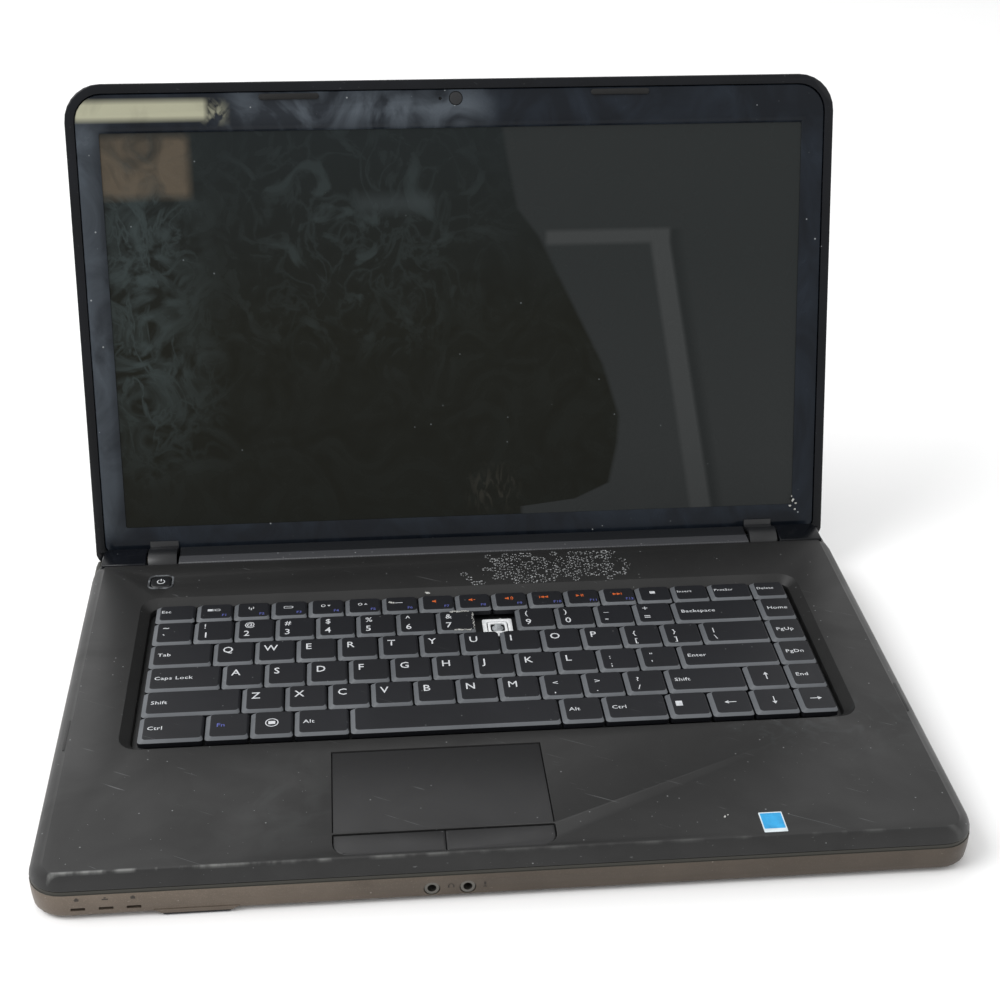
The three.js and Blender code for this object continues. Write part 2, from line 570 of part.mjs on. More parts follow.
// What the lost key leaves bare: a dome of silicone inside two crossed link frames
const LOST_X = (lostKey.x0 + lostKey.x1) / 2;
const LOST_V = (lostKey.v0 + lostKey.v1) / 2;
const LINK_OUTER = 14.2;
const LINK_BAR = 2;
const LINK_THICKNESS = 0.9;
function linkFrame(size, bar, windowDepth, pinReach) {
  const half = size / 2;
  const points = roundedOutline(-half, half, -half, half, 0.8, 2);
  const window = roundedOutline(-half + bar, half - bar, -windowDepth / 2, windowDepth / 2, 1.2, 3);
  const frame = solid(prism(points, 0, LINK_THICKNESS)).subtract(solid(prism(window, -1, 2)));
  const pins = [];
  for (const side of [-1, 1]) pins.push(solid(cylinderAlongX(0.45, side > 0 ? half - 0.6 : -half - pinReach,
    side > 0 ? half + pinReach : -half + 0.6, -half + 1.4, LINK_THICKNESS / 2, 8)));
  const mesh = union(frame, ...pins).getMesh();
  const geometry = new THREE.BufferGeometry();
  geometry.setAttribute('position', new THREE.BufferAttribute(mesh.vertProperties, 3));
  geometry.setIndex(new THREE.BufferAttribute(mesh.triVerts, 1));
  return geometry.translate(LOST_X, LOST_V, PLATE_TOP + GAP);
}
addMesh(deck, 'scissor_link_inner', linkFrame(9.2, 1.15, 6.8, 0.2), whitePlastic);
const outerLink = linkFrame(LINK_OUTER, LINK_BAR, 10.2, 0.6);
addMesh(deck, 'scissor_link_outer', solid(outerLink), whitePlastic);
const domeProfile = [[0, 0], [2.7, 0], [2.7, 0.4], [2, 0.6], [1.5, 2], [1.1, 2.3], [0, 2.3]];
const dome = new THREE.LatheGeometry(domeProfile.map(([r, z]) => new THREE.Vector2(r, z)), 16);
addMesh(deck, 'rubber_dome', dome.rotateX(Math.PI / 2).translate(LOST_X, LOST_V, PLATE_TOP + GAP), silicone);

// Touchpad and its two buttons
const padBottom = -PAD_DROP - PAD_THICKNESS;
addMesh(deck, 'touchpad', block(PAD_LEFT + SIDE_GAP, PAD_RIGHT - SIDE_GAP, PAD_FRONT + SIDE_GAP,
  PAD_REAR - SIDE_GAP, padBottom, -PAD_DROP), palmPlastic);
function padButton(x0, x1, radii) {
  const top = roundedOutline(x0, x1, PAD_BUTTON_FRONT + SIDE_GAP, PAD_FRONT - 0.8 - SIDE_GAP, radii, 5);
  const middleX = (x0 + x1) / 2;
  const middleV = (PAD_BUTTON_FRONT + PAD_FRONT) / 2;
  const crown = top.map((point) => new THREE.Vector2(
    middleX + (point.x - middleX) * 0.97, middleV + (point.y - middleV) * 0.9));
  return loft([{ z: -3.2, points: top }, { z: -0.7, points: top }, { z: -0.3, points: crown }]);
}
addMesh(deck, 'touchpad_button_left', padButton(PAD_LEFT + SIDE_GAP, PAD_SPLIT_X - SIDE_GAP / 2,
  [PAD_BUTTON_RADIUS - SIDE_GAP, 0.4, 0.4, 0.4]), palmPlastic);
addMesh(deck, 'touchpad_button_right', padButton(PAD_SPLIT_X + SIDE_GAP / 2, PAD_RIGHT - SIDE_GAP,
  [0.4, PAD_BUTTON_RADIUS - SIDE_GAP, 0.4, 0.4]), palmPlastic);

const powerHalf = POWER_SIZE / 2 - SIDE_GAP;
addMesh(deck, 'power_button', insetLoft(POWER_X - powerHalf, POWER_X + powerHalf, POWER_V - powerHalf,
  POWER_V + powerHalf, 3, [[-4, 0], [-0.2, 0], [0.3, 0.6]], 4), glossBlack);

// Hinges: a steel bracket with a barrel on the base, an arm with a pin on the lid
const BARREL_INNER_X = NOTCH_INNER + 1;
const BARREL_OUTER_X = NOTCH_INNER + 7;
function hingeBracket(side) {
  const x0 = Math.min(side * BARREL_INNER_X, side * BARREL_OUTER_X);
  const x1 = Math.max(side * BARREL_INNER_X, side * BARREL_OUTER_X);
  const plateZ = BATTERY_TOP / 2 + 0.6;
  let body = solid(cylinderAlongX(BARREL_RADIUS, x0, x1, HINGE_Y, HINGE_Z, 28));
  body = body.add(solid(block(x0, x1, HINGE_Y + 0.9, HINGE_Y + 3.2, plateZ, HINGE_Z - 3)));
  body = body.add(solid(block(x0, x1, HINGE_Y - 17.2, HINGE_Y + 3.2, plateZ - BRACKET_THICKNESS, plateZ)));
  const bore = cylinderAlongX(PIN_RADIUS + PIN_CLEARANCE, x0 - 1, x1 + 1, HINGE_Y, HINGE_Z, 28);
  return body.subtract(solid(bore));
}
addMesh(base, 'hinge_bracket_left', hingeBracket(-1), steel);
addMesh(base, 'hinge_bracket_right', hingeBracket(1), steel);

// Battery, its latch and its lock
addMesh(base, 'battery_pack', insetLoft(-BATTERY_LENGTH / 2, BATTERY_LENGTH / 2, BATTERY_FRONT, BATTERY_REAR, 3,
  [[FOOT_HEIGHT, 0.6], [FOOT_HEIGHT + 0.6, 0], [BATTERY_TOP - 5, 0], [BATTERY_TOP - 1.5, 1.4], [BATTERY_TOP, 4]], 3),
  satinBlack);
function floorSlide(slide) {
  const half = slide.length / 2;
  const knob = solid(block(slide.x - half, slide.x + half, slide.y - slide.width / 2, slide.y + slide.width / 2,
    FOOT_HEIGHT - 0.6, FLOOR_Z + GAP + 0.1));
  const foot = solid(block(slide.x - slide.foot, slide.x + slide.foot, slide.y - slide.width, slide.y + slide.width,
    FLOOR_Z + GAP, FLOOR_Z + GAP + 1.6));
  let body = knob.add(foot);
  for (let index = -2; index <= 2; index += 1) {
    const x = slide.x + index * 2.6;
    body = body.subtract(solid(block(x - 0.5, x + 0.5, slide.y - 9, slide.y + 9, 0, FOOT_HEIGHT - 0.1)));
  }
  return body;
}
addMesh(base, 'battery_latch', floorSlide(LATCH), satinBlack);
addMesh(base, 'battery_lock', floorSlide(LOCK), satinBlack);

// Optical drive: a housing open to the side, a tray with its front bar, and the eject button in it
const driveZ0 = FLOOR_Z + GAP;
const driveZ1 = driveZ0 + DRIVE_HEIGHT;
const driveInnerX = HALF_WIDTH - CASE_WALL - GAP;
const housing = solid(block(DRIVE_LEFT, driveInnerX, DRIVE_FRONT, DRIVE_REAR, driveZ0, driveZ1))
  .subtract(solid(block(DRIVE_LEFT + DRIVE_WALL, FAR, DRIVE_FRONT + DRIVE_WALL, DRIVE_REAR - DRIVE_WALL,
    driveZ0 + DRIVE_WALL, driveZ1 - DRIVE_WALL)));
addMesh(base, 'optical_drive', housing, steel);
const EJECT = { y: DRIVE_FRONT + 22, length: 9, height: 2.2, depth: 3 };
function opticalTray() {
  const floor = driveZ0 + DRIVE_WALL + SIDE_GAP;
  const middleY = (DRIVE_FRONT + DRIVE_REAR) / 2;
  const plate = solid(block(DRIVE_LEFT + 4, driveInnerX + 0.2, DRIVE_FRONT + DRIVE_WALL + SIDE_GAP,
    DRIVE_REAR - DRIVE_WALL - SIDE_GAP, floor, floor + 5));
  const bar = caseOuter().intersect(solid(block(driveInnerX, FAR, DRIVE_FRONT, DRIVE_REAR,
    driveZ0 + 0.4, driveZ1 - 0.6)));
  const discX = (DRIVE_LEFT + driveInnerX) / 2 + 1;
  const recess = solid(cylinderAlongZ(60.3, discX, middleY, floor + 2.6, floor + 9, 48));
  const spindle = solid(cylinderAlongZ(7.3, discX, middleY, floor + 1, floor + 4.8, 20));
  const ejectHole = solid(block(driveInnerX - 4, FAR, EJECT.y - EJECT.length / 2 - GAP,
    EJECT.y + EJECT.length / 2 + GAP, driveZ1 - 5.6 - GAP, driveZ1 - 5.6 + EJECT.height + GAP));
  return plate.subtract(recess).add(spindle).add(bar).subtract(ejectHole);
}
addMesh(base, 'optical_tray', opticalTray(), satinBlack);
addMesh(base, 'optical_eject_button', block(HALF_WIDTH - 0.6 - EJECT.depth, HALF_WIDTH - 0.1,
  EJECT.y - EJECT.length / 2, EJECT.y + EJECT.length / 2, driveZ1 - 5.6, driveZ1 - 5.6 + EJECT.height), satinBlack);

// Hard drive, boards, cooling and speakers
addMesh(base, 'hard_drive', block(-165, -65, FRONT_Y + 26, FRONT_Y + 96, driveZ0, driveZ0 + 9.5), steel);
function mainboard() {
  const points = [[-178, -50], [54, -50], [54, 60], [-100, 60], [-100, 30], [-178, 30]];
  const outline = points.map(([x, y]) => new THREE.Vector2(x, y));
  let body = solid(prism(outline, BOARD_Z, BOARD_Z + BOARD_THICKNESS));
  body = body.subtract(solid(block(-166, -64, -60, FRONT_Y + 97, 0, 20)));
  const top = BOARD_Z + BOARD_THICKNESS - 0.1;
  body = body.add(solid(block(-88, -52, 2, 38, top, top + 2.6)));
  body = body.add(solid(block(-44, -16, 12, 40, top, top + 1.8)));
  body = body.add(solid(block(-20, 44, -24, -16, top, top + 4)));
  body = body.add(solid(block(14, 34, 30, 50, top, top + 1.6)));
  return body;
}
addMesh(base, 'mainboard', mainboard(), circuitGreen);
const boardTop = BOARD_Z + BOARD_THICKNESS;
addMesh(base, 'memory_module', block(-22, 45.6, -15.6, 10, boardTop + GAP, boardTop + GAP + 3), circuitGreen);
addMesh(base, 'wireless_card', block(-52, -22, -45, -18, boardTop + GAP, boardTop + GAP + 2.4), circuitGreen);

function heatSink() {
  const plateZ = boardTop + 2.5 + GAP;
  let body = solid(block(-90, -50, 0, 40, plateZ, plateZ + 1.6));
  const pipePoints = [[-70, 20], [-92, 26], [-110, 27], [-162, 27], [-175, 31], [-179, 42], [-179, 80]];
  const curve = new THREE.CatmullRomCurve3(pipePoints.map(([x, y]) => new THREE.Vector3(x, y, plateZ + 2.6)));
  const section = roundedOutline(-1.6, 1.6, -3, 3, 1.2, 1);
  const pipe = new THREE.ExtrudeGeometry(new THREE.Shape(section),
    { steps: 22, bevelEnabled: false, extrudePath: curve });
  body = body.add(solid(pipe));
  const finX = -HALF_WIDTH + CASE_WALL + 2.2;
  body = body.add(solid(block(finX, finX + FIN_LENGTH, FIN_Y0, FIN_Y1, plateZ + 1.2, plateZ + 2.4)));
  body = body.add(solid(block(finX, finX + FIN_LENGTH, FIN_Y0, FIN_Y1, FLOOR_Z + 1.6, FLOOR_Z + 2.4)));
  const fins = 10;
  for (let index = 0; index < fins; index += 1) {
    const y = FIN_Y0 + (index / (fins - 1)) * (FIN_Y1 - FIN_Y0 - 0.7);
    body = body.add(solid(block(finX, finX + FIN_LENGTH, y, y + 0.7, FLOOR_Z + 1.7, plateZ + 1.6)));
  }
  return body;
}
addMesh(base, 'heat_sink', heatSink(), aluminium);

const fanZ0 = FLOOR_Z + GAP;
const fanBore = FAN_RADIUS + 1;
function fanHousing() {
  const outline = roundedOutline(FAN_X - 31, FAN_X + 31, FAN_Y - 28, FAN_Y + 28, 12, 4);
  let body = solid(prism(outline, fanZ0, fanZ0 + FAN_HEIGHT));
  body = body.subtract(solid(cylinderAlongZ(fanBore, FAN_X, FAN_Y, fanZ0 + 1, fanZ0 + FAN_HEIGHT - 1, 36)));
  body = body.subtract(solid(cylinderAlongZ(FAN_RADIUS - 5, FAN_X, FAN_Y, fanZ0 + 2, fanZ0 + FAN_HEIGHT + 1, 36)));
  body = body.subtract(solid(block(FAN_X - 40, FAN_X, FAN_Y - 18, FAN_Y + 18, fanZ0 + 1, fanZ0 + FAN_HEIGHT - 1)));
  const vent = solid(cylinderAlongZ(FAN_RADIUS - 9, FAN_X, FAN_Y, fanZ0 - 1, fanZ0 + 2, 30))
    .subtract(solid(cylinderAlongZ(9, FAN_X, FAN_Y, fanZ0 - 2, fanZ0 + 3, 20)))
    .subtract(solid(block(FAN_X - 30, FAN_X + 30, FAN_Y - 2, FAN_Y + 2, fanZ0 - 2, fanZ0 + 3)));
  body = body.subtract(vent);
  return body.add(solid(cylinderAlongZ(2, FAN_X, FAN_Y, fanZ0 + 0.5, fanZ0 + 7, 16)));
}
addMesh(base, 'fan_housing', fanHousing(), satinBlack);

// Rotor: a cup on the housing's pin, with swept-back blades
function fanRotor() {
  const hubRadius = 10;
  const z0 = fanZ0 + 1.6;
  const z1 = fanZ0 + FAN_HEIGHT - 2;
  let body = solid(cylinderAlongZ(hubRadius, FAN_X, FAN_Y, z0, z1, 24));
  body = body.subtract(solid(cylinderAlongZ(2 + GAP, FAN_X, FAN_Y, z0 - 1, fanZ0 + 7 + GAP, 16)));
  for (let index = 0; index < FAN_BLADES; index += 1) {
    const blade = [];
    const sweep = 0.75;
    for (let step = 0; step <= 4; step += 1) {
      const radius = hubRadius - 0.6 + (step / 4) * (FAN_RADIUS - hubRadius);
      blade.push({ radius, angle: sweep * (step / 4) ** 1.5 });
    }
    const start = (index / FAN_BLADES) * 2 * Math.PI;
    const edge = (offset) => blade.map(({ radius, angle }) => new THREE.Vector2(
      FAN_X + radius * Math.cos(start + angle + offset / radius),
      FAN_Y + radius * Math.sin(start + angle + offset / radius)));
    body = body.add(solid(prism([...edge(0), ...edge(0.9).reverse()], z0 + 0.4, z1 - 0.4)));
  }
  return body;
}
addMesh(base, 'fan_rotor', fanRotor(), satinBlack);

for (const speaker of SPEAKERS) {
  let body = solid(block(speaker.x - SPEAKER.length / 2, speaker.x + SPEAKER.length / 2, SPEAKER.y0, SPEAKER.y1,
    FLOOR_Z + 2 * GAP + 1.2, FLOOR_Z + 1.2 + SPEAKER.height));
  body = body.add(solid(block(speaker.x - SPEAKER.length / 2 + 2, speaker.x + SPEAKER.length / 2 - 2,
    SPEAKER.y0 + 3, SPEAKER.y1 - 1, FLOOR_Z + GAP, FLOOR_Z + 2)));
  addMesh(base, speaker.name, body, satinBlack);
}

// Ports, jacks, card blank, light pipe, service cover and feet
for (const port of PORTS) {
  const face = port.side * (HALF_WIDTH - CASE_WALL - GAP);
  const back = face - port.side * port.depth;
  const body = solid(block(Math.min(face, back), Math.max(face, back), port.y - port.width / 2,
    port.y + port.width / 2, PORT_Z, PORT_Z + port.height));
  const mouth = face - port.side * (port.depth - 2);
  const outside = face + port.side * 3;
  addMesh(base, port.name, body.subtract(solid(block(Math.min(mouth, outside), Math.max(mouth, outside),
    port.y - port.width / 2 + 1, port.y + port.width / 2 - 1, PORT_Z + 1, PORT_Z + port.height - 1))), port.material);
}
for (const jack of JACKS) {
  let body = solid(block(jack.x - 4, jack.x + 4, FRONT_Y + 6, FRONT_Y + 17, JACK_Z - 2.4, JACK_Z + 4));
  body = body.add(solid(cylinderAlongY(JACK_RADIUS, jack.x, FRONT_Y + 0.6, FRONT_Y + 7, JACK_Z)));
  body = body.subtract(solid(cylinderAlongY(1.8, jack.x, FRONT_Y - 1, FRONT_Y + 15, JACK_Z, 16)));
  addMesh(base, jack.name, body, steel);
}
const blankLip = solid(insetLoft(CARD_SLOT.x0, CARD_SLOT.x1, FRONT_Y + 0.3, FRONT_Y + 5, 0.8,
  [[CARD_SLOT.lipBottom, 0.1], [CARD_SLOT.lipBottom + 0.1, 0], [CARD_SLOT.chin - 0.2, 0]], 2));
const blankBody = union(
  solid(block(CARD_SLOT.x0, CARD_SLOT.x1, FRONT_Y + 4, FRONT_Y + 5, CARD_SLOT.chin - 0.4, CARD_SLOT.top)),
  solid(block(CARD_SLOT.x0, CARD_SLOT.x1, FRONT_Y + 4, FRONT_Y + 24, FLOOR_Z + GAP, CARD_SLOT.top)));
addMesh(base, 'card_slot_blank', blankLip.add(blankBody), satinBlack);
function lightPipe() {
  const x0 = STATUS_X[0] - 5;
  const x1 = STATUS_X[2] + 5;
  let body = solid(block(x0, x1, FRONT_Y + 4.6, FRONT_Y + 7.6, FLOOR_Z + GAP + 0.7, STATUS_Z + 2.4));
  for (const x of STATUS_X) {
    const half = STATUS_WIDTH / 2 - GAP;
    body = body.add(solid(block(x - half, x + half, FRONT_Y + 1.6, FRONT_Y + 5, STATUS_Z + GAP,
      STATUS_Z + 1.4 - GAP)));
  }
  return body;
}
addMesh(base, 'status_light_pipe', lightPipe(), clearPlastic);
const coverInset = SIDE_GAP;
const servicePlate = solid(block(SERVICE.x0 + coverInset, SERVICE.x1 - coverInset, SERVICE.y0 + coverInset,
  SERVICE.y1 - coverInset, FOOT_HEIGHT, FLOOR_Z));
const serviceHollow = solid(block(SERVICE.x0 + 5, SERVICE.x1 - 5, SERVICE.y0 + 5, SERVICE.y1 - 5,
  FOOT_HEIGHT + 1.1, FLOOR_Z + 1));
addMesh(base, 'service_cover', servicePlate.subtract(serviceHollow), bronzePlastic);

const FEET = [['foot_front_left', -155, -104], ['foot_front_right', 155, -104], ['foot_rear_left', -155, 112],
  ['foot_rear_right', 155, 112]];
for (const [name, x, y] of FEET) {
  addMesh(base, name, insetLoft(x - 16, x + 16, y - 5, y + 5, 4.5,
    [[0, 0.8], [0.5, 0], [FOOT_HEIGHT - GAP, 0]], 3), rubber);
}

// Lid, in its own frame: +Y runs up the lid from the hinge axis, +Z towards the viewer
const lidHalf = HALF_WIDTH - 0.2;
const lidBack = -LID_FACE - LID_THICKNESS;
const LID_RADII = [7, 7, LID_RADIUS, LID_RADIUS];
function lidCover() {
  const profile = [[lidBack, 18], [lidBack + 0.35, 11], [lidBack + 1.2, 5.4], [lidBack + 2.8, 2], [lidBack + 5, 0.3],
    [-LID_FACE - 1, 0], [-LID_FACE - 0.2, 0.3], [-LID_FACE + 0.1, 1.1]];
  let body = solid(insetLoft(-lidHalf, lidHalf, -LID_TAIL, LID_REACH, LID_RADII, profile, 7));
  const inner = insetLoft(-lidHalf + LID_RIM, lidHalf - LID_RIM, BEZEL_FOOT - SIDE_GAP, LID_REACH - LID_RIM,
    [4, 4, LID_RADIUS - LID_RIM, LID_RADIUS - LID_RIM],
    [[lidBack + LID_WALL, 8], [lidBack + LID_WALL + 1.4, 2.4], [lidBack + 4.4, 0], [5, 0]], 7);
  body = body.subtract(solid(inner));
  body = body.subtract(solid(cylinderAlongX(LID_SEAT_RADIUS, -FAR, FAR, 0, 0, 56)));
  // Passages of the hinge arms through the lid's foot
  for (const side of [-1, 1]) {
    const x = side * (NOTCH_OUTER - 4);
    body = body.subtract(solid(block(x - 4.4, x + 4.4, -3, BEZEL_FOOT + 9, lidBack + LID_WALL, 0)));
  }
  return body;
}
addMesh(lid, 'lid_cover', lidCover(), glossBlack);

function lidBezel() {
  const outer = insetLoft(-lidHalf + LID_RIM + SIDE_GAP, lidHalf - LID_RIM - SIDE_GAP, BEZEL_FOOT,
    LID_REACH - LID_RIM - SIDE_GAP, [4, 4, LID_RADIUS - LID_RIM, LID_RADIUS - LID_RIM],
    [[-LID_FACE - BEZEL_THICKNESS, 0], [-LID_FACE - 0.5, 0], [-LID_FACE, 0.5]], 7);
  const halfScreen = SCREEN_WIDTH / 2;
  const windowAt = (grow, z) => ({ z, points: roundedOutline(-halfScreen - grow, halfScreen + grow,
    SCREEN_FOOT - grow, SCREEN_FOOT + SCREEN_HEIGHT + grow, 0.6, 1) });
  const window = loft([windowAt(0, -LID_FACE - BEZEL_THICKNESS - 1), windowAt(0, -LID_FACE - BEZEL_THICKNESS + 0.1),
    windowAt(SCREEN_LIP, -LID_FACE), windowAt(SCREEN_LIP, 1)]);
  let body = solid(outer).subtract(solid(window));
  body = body.subtract(solid(cylinderAlongZ(LENS_RADIUS + GAP, 0, WEBCAM_V, -30, 0, 24)));
  body = body.subtract(solid(cylinderAlongZ(0.8, -7.7, WEBCAM_V, -30, 0, 10)));
  return body;
}
addMesh(lid, 'lid_bezel', lidBezel(), glossBlack);

const panelFace = -LID_FACE - BEZEL_THICKNESS - GAP;
addMesh(lid, 'display_panel', block(-SCREEN_WIDTH / 2 - PANEL_MARGIN, SCREEN_WIDTH / 2 + PANEL_MARGIN,
  SCREEN_FOOT - PANEL_MARGIN, SCREEN_FOOT + SCREEN_HEIGHT + PANEL_MARGIN, panelFace - PANEL_THICKNESS, panelFace),
  screenGlass);
const webcamBoard = solid(block(-32, 32, WEBCAM_V - 4, WEBCAM_V + 3.6, panelFace - 1.4, panelFace));
const webcamLens = solid(cylinderAlongZ(LENS_RADIUS, 0, WEBCAM_V, panelFace - 0.2, -LID_FACE - 0.1, 24));
addMesh(lid, 'webcam_module', webcamBoard.add(webcamLens), satinBlack);
for (const [name, x] of [['lid_bumper_left', -BUMPER_X], ['lid_bumper_right', BUMPER_X]]) {
  addMesh(lid, name, insetLoft(x - BUMPER_LENGTH / 2, x + BUMPER_LENGTH / 2, BUMPER_V - 1.4, BUMPER_V + 1.4, 1.3,
    [[-LID_FACE + GAP, 0], [-LID_FACE + 0.7, 0], [-LID_FACE + 0.95, 0.4]], 4), rubber);
}

function hingeArm(side) {
  const inner = side * (BARREL_INNER_X + 0.4);
  const neckInner = side * (BARREL_OUTER_X + 0.4);
  const outer = side * (NOTCH_OUTER - 0.9);
  const span = (a, b) => [Math.min(a, b), Math.max(a, b)];
  const [pinX0, pinX1] = span(inner, outer);
  const [neckX0, neckX1] = span(neckInner, outer);
  const leafBack = lidBack + LID_WALL + GAP;
  let body = solid(cylinderAlongX(PIN_RADIUS, pinX0, pinX1, 0, 0, 28));
  body = body.add(solid(block(neckX0, neckX1, -2.4, 2.4, leafBack + 0.1, 0)));
  body = body.add(solid(block(neckX0, neckX1, -2.4, BEZEL_FOOT + 52, leafBack, leafBack + 0.9)));
  return body;
}
addMesh(lid, 'hinge_arm_left', hingeArm(-1), steel);
addMesh(lid, 'hinge_arm_right', hingeArm(1), steel);

// Hinge cap: the visible rounded cover of each hinge, carried by the lid
function hingeCap(side) {
  const x0 = Math.min(side * (NOTCH_INNER + 0.4), side * (NOTCH_OUTER - 0.4));
  const x1 = Math.max(side * (NOTCH_INNER + 0.4), side * (NOTCH_OUTER - 0.4));
  const toLid = -THREE.MathUtils.radToDeg(LID_TILT);
  const shell = solid(sectorAlongX(CAP_RADIUS - 2.2, CAP_RADIUS, 24 + toLid, 165 + toLid, x0, x1));
  const face = -LID_FACE + GAP;
  const tongue = solid(profileAlongX(
    [[3.2, face], [11.2, face], [11.2, face + 0.5], [8.6, face + 0.6], [8, face + 2.7], [3.2, face + 2.7]], x0, x1));
  return shell.add(tongue).subtract(solid(cylinderAlongX(CAP_RADIUS - 2.2, -FAR, FAR, 0, 0, 40)));
}
addMesh(lid, 'hinge_cap_left', hingeCap(-1), satinBlack);
addMesh(lid, 'hinge_cap_right', hingeCap(1), satinBlack);

// The whole laptop, with its origin under the middle of its box
const laptop = new THREE.Group();
laptop.add(base, deck, lid);
laptop.updateMatrixWorld(true);
const box = new THREE.Box3().setFromObject(laptop, true);
const middle = box.getCenter(new THREE.Vector3());
laptop.position.set(-middle.x, -middle.y, -box.min.z);

export default laptop;
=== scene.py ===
import json
import math
import random
import bpy
from mathutils import Matrix, Vector

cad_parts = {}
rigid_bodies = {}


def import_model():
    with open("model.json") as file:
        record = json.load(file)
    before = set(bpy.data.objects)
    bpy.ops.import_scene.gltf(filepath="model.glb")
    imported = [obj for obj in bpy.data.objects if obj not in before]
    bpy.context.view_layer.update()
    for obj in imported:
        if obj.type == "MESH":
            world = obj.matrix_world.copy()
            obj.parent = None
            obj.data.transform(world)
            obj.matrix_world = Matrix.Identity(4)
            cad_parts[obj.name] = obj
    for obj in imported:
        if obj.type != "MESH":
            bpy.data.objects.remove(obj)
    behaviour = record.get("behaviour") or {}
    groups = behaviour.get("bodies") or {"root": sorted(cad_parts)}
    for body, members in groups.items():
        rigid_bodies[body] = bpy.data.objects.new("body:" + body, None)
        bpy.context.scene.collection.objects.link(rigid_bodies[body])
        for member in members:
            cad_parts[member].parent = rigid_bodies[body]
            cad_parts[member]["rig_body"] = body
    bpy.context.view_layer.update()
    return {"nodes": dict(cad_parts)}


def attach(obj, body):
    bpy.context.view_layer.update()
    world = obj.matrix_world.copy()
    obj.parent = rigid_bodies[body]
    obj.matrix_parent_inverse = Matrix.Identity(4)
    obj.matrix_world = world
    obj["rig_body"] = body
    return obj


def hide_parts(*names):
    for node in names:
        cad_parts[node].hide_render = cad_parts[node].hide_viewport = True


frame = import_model()
random.seed(15)
bpy.ops.object.select_all(action="DESELECT")

# Sizes in millimetres, repeated from the solids
MM = 0.001
ORIGIN_Y = -26.173
FRONT_Y = -130
DECK_Z = 21.9
DECK_TILT = math.atan(0.028)
HINGE_Y = 106.7
HINGE_Z = 22.2
LID_TILT = math.radians(74.5)
LID_FACE = -7.4
PANEL_FACE = -9.5
SCREEN_FOOT = 18.24
KEY_PITCH = 19.05
ROW_PITCH = 18.5
KEYS_LEFT = -153.5
KEYS_FRONT = 82.8
COLUMN_X = 136.4
COLUMN_WIDTH = 17.2
FUNCTION_ROW_DEPTH = 14.6
KEY_GAP = 0.7
KEY_TOP = -0.4
KEY_HEIGHT = 3.6
PLATE_TOP = -6.3
SEAM_DROP = 7.9
LIP_HEIGHT = 1.5
CREASE_V = 2.4

DECK = (Matrix.Translation((0, (FRONT_Y + ORIGIN_Y) * MM, DECK_Z * MM))
        @ Matrix.Rotation(DECK_TILT, 4, "X") @ Matrix.Scale(MM, 4))
LID = (Matrix.Translation((0, (HINGE_Y + ORIGIN_Y) * MM, HINGE_Z * MM))
       @ Matrix.Rotation(LID_TILT, 4, "X") @ Matrix.Scale(MM, 4))
BASE = Matrix.Translation((0, ORIGIN_Y * MM, 0)) @ Matrix.Scale(MM, 4)


def place_camera():
    """The camera as the laptop was seen, from the fit to the photo."""
    camera = bpy.data.objects.new("camera", bpy.data.cameras.new("camera"))
    bpy.context.scene.collection.objects.link(camera)
    right = Vector((0.99591, -0.09006, 0.00717))
    up = Vector((0.03723, 0.48138, 0.87572))
    forward = Vector((0.08232, 0.87187, -0.48276))
    turn = Matrix((right, up, -forward)).transposed().to_4x4()
    place = Vector((-57.212, -629.808 + ORIGIN_Y, 441.988)) * MM
    camera.matrix_world = Matrix.Translation(place) @ turn
    camera.data.sensor_width = 36
    camera.data.lens = 59.284
    camera.data.shift_x = 0.00948
    camera.data.shift_y = 0.03286
    camera.data.clip_start = 0.01
    bpy.context.scene.camera = camera


place_camera()


# Materials
def linear(code):
    """An sRGB hex colour as the linear colour that a shader takes."""
    values = [int(code[i:i + 2], 16) / 255 for i in (0, 2, 4)]
    return [v / 12.92 if v <= 0.04045 else ((v + 0.055) / 1.055) ** 2.4 for v in values] + [1]


def add_node(tree, kind, inputs=None, **settings):
    """Adds a node, with its settings and with values or links for its inputs."""
    node = tree.nodes.new(kind)
    for name, value in settings.items():
        setattr(node, name, value)
    for socket, value in (inputs or {}).items():
        if isinstance(value, bpy.types.NodeSocket):
            tree.links.new(value, node.inputs[socket])
        else:
            node.inputs[socket].default_value = value
    return node


def start_material(name, roughness, metallic=0.0, level=0.5):
    material = bpy.data.materials.new(name)
    material.use_nodes = True
    tree = material.node_tree
    shader = tree.nodes["Principled BSDF"]
    shader.inputs["Roughness"].default_value = roughness
    shader.inputs["Metallic"].default_value = metallic
    shader.inputs["Specular IOR Level"].default_value = level
    place = add_node(tree, "ShaderNodeTexCoord").outputs["Object"]
    return material, tree, shader, place


def mottle(tree, place, size_mm, detail=3, distortion=0.0, stretch=(1, 1, 1)):
    """Noise whose patches are about size_mm across."""
    spread = add_node(tree, "ShaderNodeMapping", {"Vector": place, "Scale": stretch})
    noise = add_node(tree, "ShaderNodeTexNoise", {
        "Vector": spread.outputs["Vector"], "Scale": 1000 / size_mm,
        "Detail": detail, "Distortion": distortion})
    return noise.outputs["Fac"]


def ramp(tree, factor, low, high, bottom=0.0, top=1.0):
    """The part of a factor from low to high, spread from bottom to top."""
    node = add_node(tree, "ShaderNodeMapRange", {
        "Value": factor, "From Min": low, "From Max": high, "To Min": bottom, "To Max": top}, clamp=True)
    return node.outputs["Result"]


def blend_colour(tree, factor, first, second):
    """The first colour at factor 0, the second at factor 1."""
    node = add_node(tree, "ShaderNodeMix", {0: factor, 6: first, 7: second}, data_type="RGBA")
    return node.outputs[2]


def combine(tree, kind, first, second):
    return add_node(tree, "ShaderNodeMath", {0: first, 1: second}, operation=kind).outputs[0]


